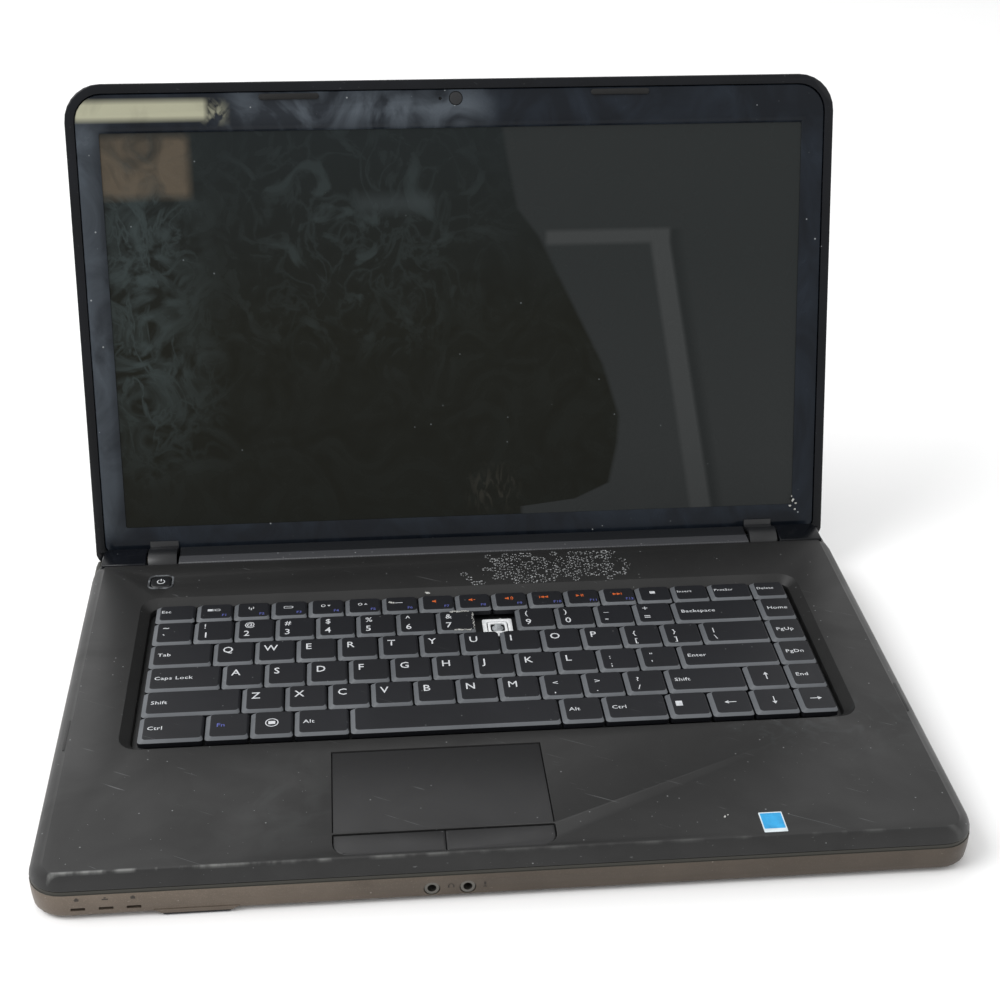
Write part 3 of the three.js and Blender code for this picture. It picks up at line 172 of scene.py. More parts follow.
def specks(tree, place, spacing_mm, radius):
    """Fine dots of dust, about spacing_mm apart, with a random few of them left."""
    cells = add_node(tree, "ShaderNodeTexVoronoi", {"Vector": place, "Scale": 1000 / spacing_mm})
    near = ramp(tree, cells.outputs["Distance"], radius, radius * 0.6)
    lot = add_node(tree, "ShaderNodeSeparateColor", {0: cells.outputs["Color"]}).outputs[0]
    return combine(tree, "MULTIPLY", near, ramp(tree, lot, 0.74, 0.8))


def scratches(tree, place, length_mm, angle):
    """Hairline scratches of about length_mm at one angle."""
    turned = add_node(tree, "ShaderNodeMapping", {"Vector": place, "Rotation": (0, 0, angle)})
    lines = mottle(tree, turned.outputs["Vector"], length_mm, 2, 0.6, (1, 30, 30))
    return ramp(tree, lines, 0.735, 0.76)


def set_bump(tree, shader, height, strength, distance_mm):
    bump = add_node(tree, "ShaderNodeBump", {
        "Height": height, "Strength": strength, "Distance": distance_mm * MM})
    tree.links.new(bump.outputs["Normal"], shader.inputs["Normal"])


def split(tree, place):
    """The x, y and z of a place."""
    return add_node(tree, "ShaderNodeSeparateXYZ", {0: place}).outputs


def moulded_plastic(name, dark, pale, roughness, grain_mm=0.5, dust=0.5, level=0.4):
    """Moulded ABS: fine grain, smudges that shine a little more, hairlines and specks of dust."""
    material, tree, shader, place = start_material(name, roughness, 0, level)
    smudge = mottle(tree, place, 38, 5, 0.8)
    colour = blend_colour(tree, ramp(tree, smudge, 0.35, 0.7), linear(dark), linear(pale))
    dirt = combine(tree, "MULTIPLY", specks(tree, place, 4.2, 0.09), dust)
    hairlines = combine(tree, "MULTIPLY", scratches(tree, place, 26, 0.5), dust * 0.35)
    colour = blend_colour(tree, combine(tree, "MAXIMUM", dirt, hairlines), colour, linear("8d8f90"))
    tree.links.new(colour, shader.inputs["Base Color"])
    gloss = ramp(tree, smudge, 0.3, 0.75, roughness + 0.06, roughness - 0.08)
    tree.links.new(gloss, shader.inputs["Roughness"])
    set_bump(tree, shader, mottle(tree, place, grain_mm, 2), 0.25, 0.04)
    return material


def region(tree, place, x0, x1, y0, y1, soft_mm, axes=(0, 1)):
    """1 inside a rectangle of the surface, falling to 0 over soft_mm outside it."""
    parts = split(tree, place)
    soft = soft_mm * MM
    mask = None
    for axis, low, high in ((axes[0], x0 * MM, x1 * MM), (axes[1], y0 * MM, y1 * MM)):
        socket = parts[axis]
        side = combine(tree, "MULTIPLY", ramp(tree, socket, low - soft, low + soft),
                       ramp(tree, socket, high + soft, high - soft))
        mask = side if mask is None else combine(tree, "MULTIPLY", mask, side)
    return mask


def palm_rest_material():
    """Grained ABS of the palm rest, dusty and with smudges left by hands, and a broken painted highlight
    along its front crease.
    """
    material = moulded_plastic("grained_abs_charcoal", "1b1b1b", "242424", 0.46, 0.6, 0.75, 0.34)
    tree = material.node_tree
    shader = tree.nodes["Principled BSDF"]
    place = tree.nodes["Texture Coordinate"].outputs["Object"]
    below = shader.inputs["Base Color"].links[0].from_socket
    wear = region(tree, place, -120, -60, -118 + ORIGIN_Y, -70 + ORIGIN_Y, 26)
    wear = combine(tree, "MULTIPLY", wear, ramp(tree, mottle(tree, place, 16, 6, 1.5), 0.45, 0.62, 0, 0.3))
    colour = blend_colour(tree, wear, below, linear("3a3c3c"))
    film_and_reflection = region(tree, place, 96, 180, -70 + ORIGIN_Y, -40 + ORIGIN_Y, 14)
    film_and_reflection = combine(tree, "MULTIPLY", film_and_reflection, ramp(tree, mottle(tree, place, 12, 6, 2), 0.5, 0.66, 0, 0.35))
    colour = blend_colour(tree, film_and_reflection, colour, linear("3c3f40"))
    # A broken pale line along the front crease, stronger towards the left: a painted highlight.
    crease = (FRONT_Y + ORIGIN_Y + CREASE_V) * MM
    parts = split(tree, place)
    near = combine(tree, "ABSOLUTE", combine(tree, "SUBTRACT", parts[1], crease), 0.0)
    more_left = ramp(tree, parts[0], 0.0, -0.16, 0.12, 0.6)
    crease_highlight = combine(tree, "MULTIPLY", ramp(tree, near, 0.0009, 0.0003), more_left)
    broken = ramp(tree, mottle(tree, place, 9, 8, 0, (1, 0.3, 0.3)), 0.46, 0.6)
    colour = blend_colour(tree, combine(tree, "MULTIPLY", crease_highlight, broken), colour, linear("8b8c8a"))
    tree.links.new(colour, shader.inputs["Base Color"])
    return material


def bezel_material():
    """Polished black ABS with a painted reflection in its top left corner, smears beside it and along its
    left edge painted pale as a reflection, and dust at its edges.
    """
    material, tree, shader, place = start_material("polished_abs_black", 0.16, 0, 0.14)
    smear = mottle(tree, place, 30, 6, 2.0, (1, 1, 0.6))
    # The pale patch in the top left corner and its wisp are a painted reflection.
    corner = region(tree, place, -184, -121, 232, 240.5, 1.6, (0, 2))
    wisp = region(tree, place, -124, -112, 231, 239, 3, (0, 2))
    ragged = ramp(tree, mottle(tree, place, 14, 6, 2.4), 0.42, 0.6, 0, 0.55)
    shine = combine(tree, "MAXIMUM", corner, combine(tree, "MULTIPLY", wisp, ragged))
    shine = combine(tree, "MULTIPLY", shine, ramp(tree, smear, 0.2, 0.45, 0.8, 1))
    # Smears along the top and down the left edge, painted pale as a reflection.
    smear_reflection_band = region(tree, place, -112, 14, 226, 244, 8, (0, 2))
    smear_reflection = combine(tree, "MULTIPLY", smear_reflection_band, ramp(tree, smear, 0.42, 0.62, 0.1, 0.6))
    left = region(tree, place, -190, -172, 36, 232, 5, (0, 2))
    left = combine(tree, "MULTIPLY", left, ramp(tree, smear, 0.3, 0.7, 0.15, 0.5))
    smear_reflection = combine(tree, "MAXIMUM", smear_reflection, left)
    dirt = combine(tree, "MULTIPLY", specks(tree, place, 5.2, 0.1), 0.6)
    colour = blend_colour(tree, ramp(tree, smear, 0.4, 0.7), linear("12161c"), linear("1c222a"))
    colour = blend_colour(tree, smear_reflection, colour, linear("5b6269"))
    colour = blend_colour(tree, combine(tree, "MULTIPLY", shine, 0.95), colour, linear("a3a28c"))
    colour = blend_colour(tree, dirt, colour, linear("a9adaf"))
    tree.links.new(colour, shader.inputs["Base Color"])
    tree.links.new(ramp(tree, smear, 0.35, 0.7, 0.12, 0.3), shader.inputs["Roughness"])
    return material


def bent_line(tree, along, points):
    """Where a line bent at a few points lies, for a place along it; points are (along, across) in mm."""
    across = None
    for (a0, b0), (a1, b1) in zip(points, points[1:]):
        step = ramp(tree, along, a0 * MM, a1 * MM, 0, (b1 - b0) * MM)
        across = step if across is None else combine(tree, "ADD", across, step)
    return combine(tree, "ADD", across, points[0][1] * MM)


def beyond(tree, place_along, place_across, points, soft_mm):
    """1 on the far side of a bent line, 0 on the near side."""
    distance = combine(tree, "SUBTRACT", place_across, bent_line(tree, place_along, points))
    return ramp(tree, distance, -soft_mm * MM, soft_mm * MM)


def screen_material():
    """A polished panel that is switched off, with painted reflections: cloudy leaf-like patches on its left
    and in its middle, and the room that it mirrors on its right.
    """
    material, tree, shader, place = start_material("polished_panel_glass", 0.2, 0, 0.1)
    parts = split(tree, place)
    x, z = parts[0], parts[2]
    cloud = mottle(tree, place, 26, 8, 2.2)
    fine = mottle(tree, place, 20, 6, 1.4, (1, 1, 0.7))
    leaf = ramp(tree, combine(tree, "ABSOLUTE", combine(tree, "SUBTRACT", fine, 0.52), 0.0), 0.05, 0.0)
    # The cloudy leaf-like patches on the left and in the middle are a painted reflection.
    left = region(tree, place, -178, -138, 78, 212, 24, (0, 2))
    middle = region(tree, place, -106, 4, 134, 224, 30, (0, 2))
    left_painted_reflection = combine(tree, "MAXIMUM", ramp(tree, cloud, 0.42, 0.66, 0, 0.45),
                    combine(tree, "MULTIPLY", leaf, 0.42))
    film_and_reflection = combine(tree, "MULTIPLY", left, left_painted_reflection)
    middle_painted_reflection = combine(tree, "MAXIMUM", ramp(tree, cloud, 0.52, 0.66, 0, 0.22),
                      combine(tree, "MULTIPLY", leaf, 0.12))
    film_and_reflection = combine(tree, "MAXIMUM", film_and_reflection, combine(tree, "MULTIPLY", middle, middle_painted_reflection))
    colour = blend_colour(tree, ramp(tree, cloud, 0.35, 0.7), linear("14150f"), linear("1a1c18"))
    colour = blend_colour(tree, ramp(tree, z, 0.135, 0.235), colour, linear("1b2021"))
    colour = blend_colour(tree, film_and_reflection, colour, linear("4a5556"))
    # Paler beyond the outline of a figure: a painted reflection of the room.
    figure = [(41, 30), (44, 58), (51.6, 75.7), (71.3, 80.1), (85.4, 81), (110.9, 72.8), (132.9, 61.5),
              (149.8, 52.8), (174.3, 40.3), (187.4, 29.8), (208.8, 25.6), (225.6, 22.8)]
    pale = beyond(tree, z, x, figure, 1.2)
    colour = blend_colour(tree, pale, colour, linear("272a2a"))
    low = combine(tree, "MULTIPLY", pale, ramp(tree, z, 0.16, 0.06))
    colour = blend_colour(tree, combine(tree, "MULTIPLY", low, 0.6), colour, linear("323434"))
    # A post and a beam with a dark band beside the post: a painted reflection of a window frame.
    below_beam = ramp(tree, z, 0.177, 0.1755)
    frame_left = beyond(tree, z, x, [(36, 119), (170, 97)], 1.2)
    frame_right = beyond(tree, z, x, [(36, 130), (170, 107)], 1.2)
    post = combine(tree, "MULTIPLY", frame_left, combine(tree, "SUBTRACT", 1.0, frame_right))
    beam = region(tree, place, 44, 107, 170, 176.5, 1.2, (0, 2))
    post = combine(tree, "MULTIPLY", post, below_beam)
    frame_part = combine(tree, "MAXIMUM", post, beam)
    colour = blend_colour(tree, combine(tree, "MULTIPLY", frame_part, 0.75), colour, linear("3f4141"))
    reflected_dark_band = combine(tree, "MULTIPLY", frame_right,
                     combine(tree, "SUBTRACT", 1.0, beyond(tree, z, x, [(36, 135), (170, 112)], 2.5)))
    reflected_dark_band = combine(tree, "MULTIPLY", reflected_dark_band, below_beam)
    colour = blend_colour(tree, combine(tree, "MULTIPLY", reflected_dark_band, 0.6), colour, linear("1c1f1f"))
    corner = region(tree, place, -176, -131, 196, 224, 2.5, (0, 2))
    uneven = ramp(tree, mottle(tree, place, 18, 4, 1), 0.3, 0.6, 0.2, 0.85)
    corner = combine(tree, "MULTIPLY", corner, uneven)
    colour = blend_colour(tree, corner, colour, linear("574e42"))
    bright = region(tree, place, -50, -12, 187, 195, 3, (0, 2))
    colour = blend_colour(tree, combine(tree, "MULTIPLY", bright, 0.6), colour, linear("33393a"))
    thumb = combine(tree, "MULTIPLY", region(tree, place, 4, 26, 42, 60, 5, (0, 2)),
                    ramp(tree, mottle(tree, place, 8, 4, 2, (1.6, 1, 0.5)), 0.5, 0.62))
    colour = blend_colour(tree, combine(tree, "MULTIPLY", thumb, 0.22), colour, linear("4f4c44"))
    dirt = combine(tree, "MULTIPLY", specks(tree, place, 8, 0.06), 0.5)
    colour = blend_colour(tree, dirt, colour, linear("7d8385"))
    tree.links.new(colour, shader.inputs["Base Color"])
    tree.links.new(ramp(tree, cloud, 0.3, 0.7, 0.16, 0.34), shader.inputs["Roughness"])
    return material


def bronze_material():
    """ABS sprayed with a bronze metallic lacquer, scratched, darker towards the right as painted shade, and
    with a band of painted shade in the rebate under the seam.
    """
    material, tree, shader, place = start_material("bronze_lacquered_abs", 0.4, 0.35, 0.45)
    cloud = mottle(tree, place, 30, 5, 0.6)
    flake = mottle(tree, place, 0.5, 1)
    colour = blend_colour(tree, ramp(tree, cloud, 0.3, 0.7), linear("5a5046"), linear("6d6257"))
    colour = blend_colour(tree, ramp(tree, flake, 0.55, 0.75, 0, 0.3), colour, linear("8a7d70"))
    marks = combine(tree, "MAXIMUM", scratches(tree, place, 18, 0.2), specks(tree, place, 5, 0.08))
    colour = blend_colour(tree, combine(tree, "MULTIPLY", marks, 0.6), colour, linear("b8b0a6"))
    parts = split(tree, place)
    # Darker towards the right: painted shade, away from the lamp on the left.
    colour = blend_colour(tree, ramp(tree, parts[0], -0.12, 0.0, 0, 0.55), colour, linear("2c2620"))
    # A dark band over the rebate under the seam: painted shade.
    slope = math.tan(DECK_TILT)
    height = combine(tree, "SUBTRACT", parts[2], combine(tree, "MULTIPLY", parts[1], slope))
    rebate_shade_z = (DECK_Z - SEAM_DROP - LIP_HEIGHT - (FRONT_Y + ORIGIN_Y) * slope) * MM
    rebate_shade = ramp(tree, height, rebate_shade_z - 0.2 * MM, rebate_shade_z)
    colour = blend_colour(tree, rebate_shade, colour, linear("35342f"))
    tree.links.new(colour, shader.inputs["Base Color"])
    tree.links.new(ramp(tree, cloud, 0.3, 0.7, 0.36, 0.5), shader.inputs["Roughness"])
    set_bump(tree, shader, flake, 0.12, 0.03)
    return material


def pitted_material():
    """Moulded black ABS with a fine pitted grain, greyed by dust, and a darker rear edge."""
    material, tree, shader, place = start_material("pitted_abs_black", 0.5, 0, 0.35)
    pits = add_node(tree, "ShaderNodeTexVoronoi", {
        "Vector": place, "Scale": 1000 / 1.4, "Randomness": 0.25})
    pit = ramp(tree, pits.outputs["Distance"], 0.2, 0.42)
    colour = blend_colour(tree, pit, linear("4c4d50"), linear("3a3b3e"))
    dirt = combine(tree, "MULTIPLY", specks(tree, place, 3.0, 0.13), 0.8)
    colour = blend_colour(tree, dirt, colour, linear("a0a2a3"))
    y = split(tree, place)[1]
    rear = (HINGE_Y + ORIGIN_Y - 2.6) * MM
    colour = blend_colour(tree, ramp(tree, y, rear - 0.0001, rear + 0.0001), colour, linear("131518"))
    tree.links.new(colour, shader.inputs["Base Color"])
    set_bump(tree, shader, pit, 0.5, 0.12)
    return material


def metal(name, code, roughness, brush_mm=1.2):
    """Sheet or turned metal with faint lines left by its making."""
    material, tree, shader, place = start_material(name, roughness, 1.0)
    lines = mottle(tree, place, brush_mm, 2, 0, (1, 14, 14))
    colour = blend_colour(tree, ramp(tree, lines, 0.3, 0.7, 0, 0.3), linear(code), linear("6f7275"))
    tree.links.new(colour, shader.inputs["Base Color"])
    tree.links.new(ramp(tree, lines, 0.3, 0.7, roughness, roughness + 0.15), shader.inputs["Roughness"])
    return material


def plain_film(name, code, second, roughness, patch_mm=3.0, level=0.4):
    """One even substance, such as ink, paper, acetal or rubber, that varies a little from patch to patch."""
    material, tree, shader, place = start_material(name, roughness, 0, level)
    patch = mottle(tree, place, patch_mm, 3, 0.4)
    colour = blend_colour(tree, ramp(tree, patch, 0.35, 0.7), linear(code), linear(second))
    tree.links.new(colour, shader.inputs["Base Color"])
    tree.links.new(ramp(tree, patch, 0.3, 0.7, roughness, roughness + 0.1), shader.inputs["Roughness"])
    return material


def board_material():
    """Glass-fibre board under green solder mask, with copper tracks faintly showing."""
    material, tree, shader, place = start_material("solder_masked_fr4", 0.45)
    cells = add_node(tree, "ShaderNodeTexVoronoi", {"Vector": place, "Scale": 1000 / 3},
                     distance="MANHATTAN")
    track = ramp(tree, cells.outputs["Distance"], 0.3, 0.36)
    colour = blend_colour(tree, track, linear("1a4630"), linear("2b6646"))
    tree.links.new(colour, shader.inputs["Base Color"])
    return material


palm_abs = palm_rest_material()
bronze = bronze_material()
bezel_abs = bezel_material()
screen_glass = screen_material()
strip_abs = pitted_material()
key_top_abs = moulded_plastic("worn_key_abs", "131418", "1b1c20", 0.5, 0.4, 0.4, 0.28)
# A paler copy of the key plastic for the slopes that face the lamp: painted light.
key_skirt_abs = moulded_plastic("key_skirt_abs", "55585c", "63666a", 0.5, 0.4, 0.4)
pad_abs = moulded_plastic("touchpad_abs", "1b1b1c", "222223", 0.48, 0.7, 0.6, 0.36)
case_black = moulded_plastic("satin_abs_black", "141517", "1c1d1f", 0.4, 0.5, 0.4)
gloss_black = moulded_plastic("polished_cap_abs", "0b0d10", "121419", 0.2, 0.8, 0.5, 0.16)
well_black = moulded_plastic("keyboard_tray_abs", "101112", "17181a", 0.5, 0.6, 0.5)
white_acetal = plain_film("white_acetal", "f0f1f2", "dfe2e4", 0.5, 2)
grey_silicone = plain_film("grey_silicone", "8d9194", "a6aaad", 0.45, 1)
ink_white = plain_film("legend_ink_white", "d4d6d9", "b9bcc0", 0.6, 2)
ink_orange = plain_film("legend_ink_orange", "d9662a", "b8541f", 0.6, 2)
ink_blue = plain_film("legend_ink_blue", "5a62a8", "4a5090", 0.6, 2)
flake_grey = plain_film("dried_glue_flakes", "a6a8a9", "6f7172", 0.8, 1.5)
chip_white = plain_film("chipped_plastic", "c9c9c5", "9d9d99", 0.7, 1.2)
sticker_blue = plain_film("printed_blue_foil", "2aa3dc", "1c8cc4", 0.35, 4)
sticker_edge = plain_film("printed_paper_edge", "d8e2e6", "c6d0d4", 0.5, 4)
black_rubber = plain_film("moulded_rubber", "141414", "1e1e1e", 0.85, 3)
worn_chrome = plain_film("worn_chrome_paint", "17181a", "6f7275", 0.35, 3, 0.4)
dark_ink = plain_film("pad_printed_dark_ink", "2b2621", "3a342e", 0.6, 2)
brushed_steel = metal("stamped_steel", "a2a6aa", 0.32)
jack_metal = metal("tarnished_nickel_plate", "6b6862", 0.4)
aluminium = metal("extruded_aluminium", "b6b9bc", 0.38)
circuit_board = board_material()
clear_pipe = plain_film("clear_acrylic", "a8abad", "8f9294", 0.25, 3)


# Modelling helpers
def finish_piece(piece, name, material, body, matrix=None):
    """Puts a modelled piece in its place, names it and lets it ride on its body."""
    if matrix is not None:
        piece.data.transform(matrix @ piece.matrix_world)
        piece.matrix_world = Matrix.Identity(4)
    piece.name = name
    piece.data.name = name
    if material is not None:
        piece.data.materials.clear()
        piece.data.materials.append(material)
    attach(piece, body)
    return piece


def active(piece):
    bpy.ops.object.select_all(action="DESELECT")
    piece.select_set(True)
    bpy.context.view_layer.objects.active = piece


def smooth(piece, degrees=35):
    active(piece)
    bpy.ops.object.shade_smooth_by_angle(angle=math.radians(degrees))


def soften(piece, width, segments=2, degrees=38):
    """Rounds the edges as a moulding has them."""
    active(piece)
    bevel = piece.modifiers.new("edge", "BEVEL")
    bevel.width = width
    bevel.segments = segments
    bevel.limit_method = "ANGLE"
    bevel.angle_limit = math.radians(degrees)
    bevel.harden_normals = False
    bpy.ops.object.modifier_apply(modifier="edge")
    smooth(piece, degrees)


def dress(node, material, slot_name, edge_mm=0.25, degrees=38):
    """A copy of a solid with its seams merged and its edges rounded, which stands for the solid."""
    solid = frame["nodes"][node]
    piece = solid.copy()
    piece.data = solid.data.copy()
    for key in list(piece.keys()):
        del piece[key]
    piece.parent = None
    bpy.context.scene.collection.objects.link(piece)
    active(piece)
    bpy.ops.object.mode_set(mode="EDIT")
    bpy.ops.mesh.select_all(action="SELECT")
    bpy.ops.mesh.remove_doubles(threshold=0.000005)
    bpy.ops.mesh.dissolve_limited(angle_limit=math.radians(0.4))
    bpy.ops.object.mode_set(mode="OBJECT")
    if edge_mm:
        soften(piece, edge_mm * MM, 2, degrees)
    else:
        smooth(piece, degrees)
    finish_piece(piece, node + "_shell", material, solid["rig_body"])
    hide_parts(node)
    return piece


def join(pieces):
    bpy.ops.object.select_all(action="DESELECT")
    for piece in pieces:
        piece.select_set(True)
    bpy.context.view_layer.objects.active = pieces[0]
    if len(pieces) > 1:
        bpy.ops.object.join()
    return pieces[0]


def link_mesh(mesh, name):
    piece = bpy.data.objects.new(name, mesh)
    bpy.context.scene.collection.objects.link(piece)
    return piece


# Shells that keep the solids' forms, with rounded edges and real finishes
DRESSED = [
    (palm_abs, "palm_plastic", {"palm_rest_cover": 0.3}),
    (bronze, "bronze_plastic", {"bottom_case": 0.3, "service_cover": 0.3}),
    (strip_abs, "satin_black", {"hinge_strip": 0.35}),
    (gloss_black, "gloss_black", {"corner_cap_left": 0.35, "corner_cap_right": 0.35}),
    (pad_abs, "palm_plastic", {"touchpad": 0.2}),
    (pad_abs, "palm_plastic", {"touchpad_button_left": 0.3, "touchpad_button_right": 0.3}, 30),
    (case_black, "gloss_black", {"power_button": 0.2}),
    (gloss_black, "gloss_black", {"lid_cover": 0.3}),
    (bezel_abs, "gloss_black", {"lid_bezel": 0.3}),
    (case_black, "satin_black", {"hinge_cap_left": 0.3, "hinge_cap_right": 0.3}),
    (black_rubber, "rubber", {"lid_bumper_left": 0.2, "lid_bumper_right": 0.2}),
    (case_black, "satin_black", {"card_slot_blank": 0.25}),
    (jack_metal, "steel", {"headphone_jack": 0.25, "microphone_jack": 0.25}),
    (clear_pipe, "clear_plastic", {"status_light_pipe": 0}),
    (case_black, "satin_black", {"battery_pack": 0.4, "battery_latch": 0.2, "battery_lock": 0.2}),
    (case_black, "satin_black", {"optical_tray": 0.25, "optical_eject_button": 0.2}),
    (brushed_steel, "steel", {"optical_drive": 0}),
    (white_acetal, "white_plastic", {"scissor_link_outer": 0.12, "scissor_link_inner": 0.12}),
    (grey_silicone, "silicone", {"rubber_dome": 0}),
    (case_black, "satin_black", {"webcam_module": 0.15}),
    (black_rubber, "rubber", {"foot_front_left": 0.25, "foot_front_right": 0.25}),
    (black_rubber, "rubber", {"foot_rear_left": 0.25, "foot_rear_right": 0.25}),
    (case_black, "satin_black", {"power_inlet": 0.2}),
    (brushed_steel, "steel", {"video_port": 0.2, "network_port": 0.2}),
    (brushed_steel, "steel", {"usb_port_left": 0.2, "usb_port_right": 0.2}),
]
for material, slot_name, nodes, *angle in DRESSED:
    for node, edge_mm in nodes.items():
        dress(node, material, slot_name, edge_mm, *angle)

# Solids that are good as they are
PLAIN = [
    (screen_glass, ["display_panel"]),
    (brushed_steel, ["hinge_bracket_left", "hinge_bracket_right", "hinge_arm_left", "hinge_arm_right"]),
    (brushed_steel, ["hard_drive"]),
    (circuit_board, ["mainboard", "memory_module", "wireless_card"]),
    (aluminium, ["heat_sink"]),
    (case_black, ["fan_housing", "fan_rotor", "speaker_left", "speaker_right"]),
]
for material, nodes in PLAIN:
    for node in nodes:
        mesh = frame["nodes"][node].data
        mesh.materials.clear()
        mesh.materials.append(material)


# Keyboard: one cap modelled, then copied and stretched to each key's size
ROWS = [
    ([(1, 28.6), (1, 19.4), (1, KEY_PITCH), (1, 24.2), (1, 92.3), (1, KEY_PITCH), (1, 28.7),
      (2, KEY_PITCH)], ROW_PITCH),
    ([(1, 43.6), (10, KEY_PITCH), (1, 36.6)], ROW_PITCH),
    ([(1, 34.0), (11, KEY_PITCH)], ROW_PITCH),
    ([(1, 29.1), (12, KEY_PITCH)], ROW_PITCH),
    ([(13, KEY_PITCH)], ROW_PITCH),
    ([(1, 19.3), (13, 17.75), (1, 18.5)], FUNCTION_ROW_DEPTH),
]
OWN_BODY = {(0, 4): "key_space", (1, 0): "key_shift_left", (1, 11): "key_shift_right",
            (2, 12): "key_enter", (3, 0): "key_tab", (4, 13): "key_backspace"}
LOST = (4, 8)
CAP_SLOPE = 1.25
CAP_TOP = (15.6 / 18.35, 15.9 / 17.8, 1)
CAP_CORNER = 1.4
CAP_RIM = 0.35
TRAY_WIDTH = 315.6
TRAY_DEPTH = 112.7
TRAY_MIDDLE = 136.65
TRAY_THICKNESS = 1


def key_layout():
    """The x0, x1, v0 and v1 of each key by its row and column; a row's last two reach the right column."""
    keys = {}
    for row, (runs, depth) in enumerate(ROWS):
        front = KEYS_FRONT + row * ROW_PITCH
        widths = [width for count, width in runs for _ in range(count)]
        x = KEYS_LEFT
        widths.append(COLUMN_X - x - sum(widths))
        widths.append(COLUMN_WIDTH)
        for column, width in enumerate(widths):
            keys[(row, column)] = (x, x + width, front, front + depth)
            x += width
    return keys


KEYS = key_layout()


def model_cap():
    """One letter key: upright walls, a broad slope on the left and front, and a flat top with a soft rim; the
    slopes that face the lamp take a paler copy of the plastic as painted light.
    """
    bpy.ops.mesh.primitive_cube_add(size=1, location=(0, 0, -CAP_SLOPE / 2))
    cap = bpy.context.active_object
    cap.scale = (KEY_PITCH - KEY_GAP, ROW_PITCH - KEY_GAP, KEY_HEIGHT - CAP_SLOPE)
    bpy.ops.object.transform_apply(location=True, rotation=False, scale=True)
    bpy.ops.object.mode_set(mode="EDIT")
    bpy.ops.mesh.select_mode(type="FACE")
    bpy.ops.mesh.select_all(action="DESELECT")
    bpy.ops.object.mode_set(mode="OBJECT")
    for face in cap.data.polygons:
        face.select = face.normal.z > 0.9
    bpy.ops.object.mode_set(mode="EDIT")
    bpy.ops.mesh.extrude_region_move(TRANSFORM_OT_translate={"value": (0, 0, CAP_SLOPE)})
    bpy.ops.transform.resize(value=CAP_TOP)
    bpy.ops.transform.translate(value=(0.65, 0.25, 0))
    bpy.ops.mesh.select_mode(type="EDGE")
    for offset, segments in ((CAP_CORNER, 3), (CAP_RIM, 2)):
        bpy.ops.mesh.select_all(action="DESELECT")
        bpy.ops.object.mode_set(mode="OBJECT")
        for edge in cap.data.edges:
            low, high = sorted(cap.data.vertices[i].co.z for i in edge.vertices)
            on_rim = low > KEY_HEIGHT / 2 - 0.01
            edge.select = on_rim if offset == CAP_RIM else high - low > 0.8
        bpy.ops.object.mode_set(mode="EDIT")
        bpy.ops.mesh.bevel(offset=offset, segments=segments, affect="EDGES")
    bpy.ops.mesh.select_all(action="SELECT")
    bpy.ops.mesh.normals_make_consistent(inside=False)
    bpy.ops.object.mode_set(mode="OBJECT")
    cap.data.materials.append(key_top_abs)
    cap.data.materials.append(key_skirt_abs)
    smooth(cap, 24)
    # Slopes turned left or front, towards the lamp, take the paler copy as painted light.
    for face in cap.data.polygons:
        flat = face.normal.z > 0.97
        turned = min(face.normal.x, face.normal.y) < -0.12 and face.normal.z > 0.2
        face.material_index = 1 if turned and not flat else 0
        face.use_smooth = not flat
    return cap


def copy_cap(pattern, key):
    """The pattern widened from its middle to one key's size, so that its corners keep their form."""
    x0, x1, v0, v1 = KEYS[key]
    mesh = pattern.data.copy()
    grow_x = (x1 - x0 - KEY_PITCH) / 2
    grow_y = (v1 - v0 - ROW_PITCH) / 2
    centre = Vector(((x0 + x1) / 2, (v0 + v1) / 2, KEY_TOP - KEY_HEIGHT / 2))
    lean = random.uniform(-0.12, 0.12)
    for vertex in mesh.vertices:
        side = 1 if vertex.co.x > 0 else -1
        end = 1 if vertex.co.y > 0 else -1
        vertex.co.x += side * grow_x
        vertex.co.y += end * grow_y
        vertex.co += centre
        vertex.co.z += lean * vertex.co.x * 0.0002
    return link_mesh(mesh, "cap")


def model_tray():
    """The dark tray under the keys, which shows between them and round the bare frame."""
    bpy.ops.mesh.primitive_cube_add(size=1, location=(0, TRAY_MIDDLE, PLATE_TOP - TRAY_THICKNESS / 2))
    tray = bpy.context.active_object
    tray.scale = (TRAY_WIDTH, TRAY_DEPTH, TRAY_THICKNESS)
    bpy.ops.object.transform_apply(location=True, rotation=False, scale=True)
    bpy.ops.object.mode_set(mode="EDIT")
    bpy.ops.mesh.select_all(action="DESELECT")
    bpy.ops.object.mode_set(mode="OBJECT")
    for edge in tray.data.edges:
        low, high = (tray.data.vertices[i].co for i in edge.vertices)
        edge.select = abs(low.z - high.z) > 0.5
    bpy.ops.object.mode_set(mode="EDIT")
    bpy.ops.mesh.bevel(offset=6, segments=4, affect="EDGES")
    bpy.ops.object.mode_set(mode="OBJECT")
    tray.data.materials.append(well_black)
    return tray


pattern_cap = model_cap()
shared = [model_tray()]
for key in KEYS:
    if key == LOST:
        continue
    cap = copy_cap(pattern_cap, key)
    if key in OWN_BODY:
        node = OWN_BODY[key]
        finish_piece(cap, node + "_cap", None, node, DECK)
        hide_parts(node)
    else:
        shared.append(cap)
keyboard = join(shared)
finish_piece(keyboard, "keyboard_caps_and_tray", None, "base", DECK)
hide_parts("keyboard_plate")
bpy.data.objects.remove(pattern_cap)


# Legends: generic letters, figures and marks, printed flat on the caps
INK_TOP = KEY_TOP + 0.04
printed = {}


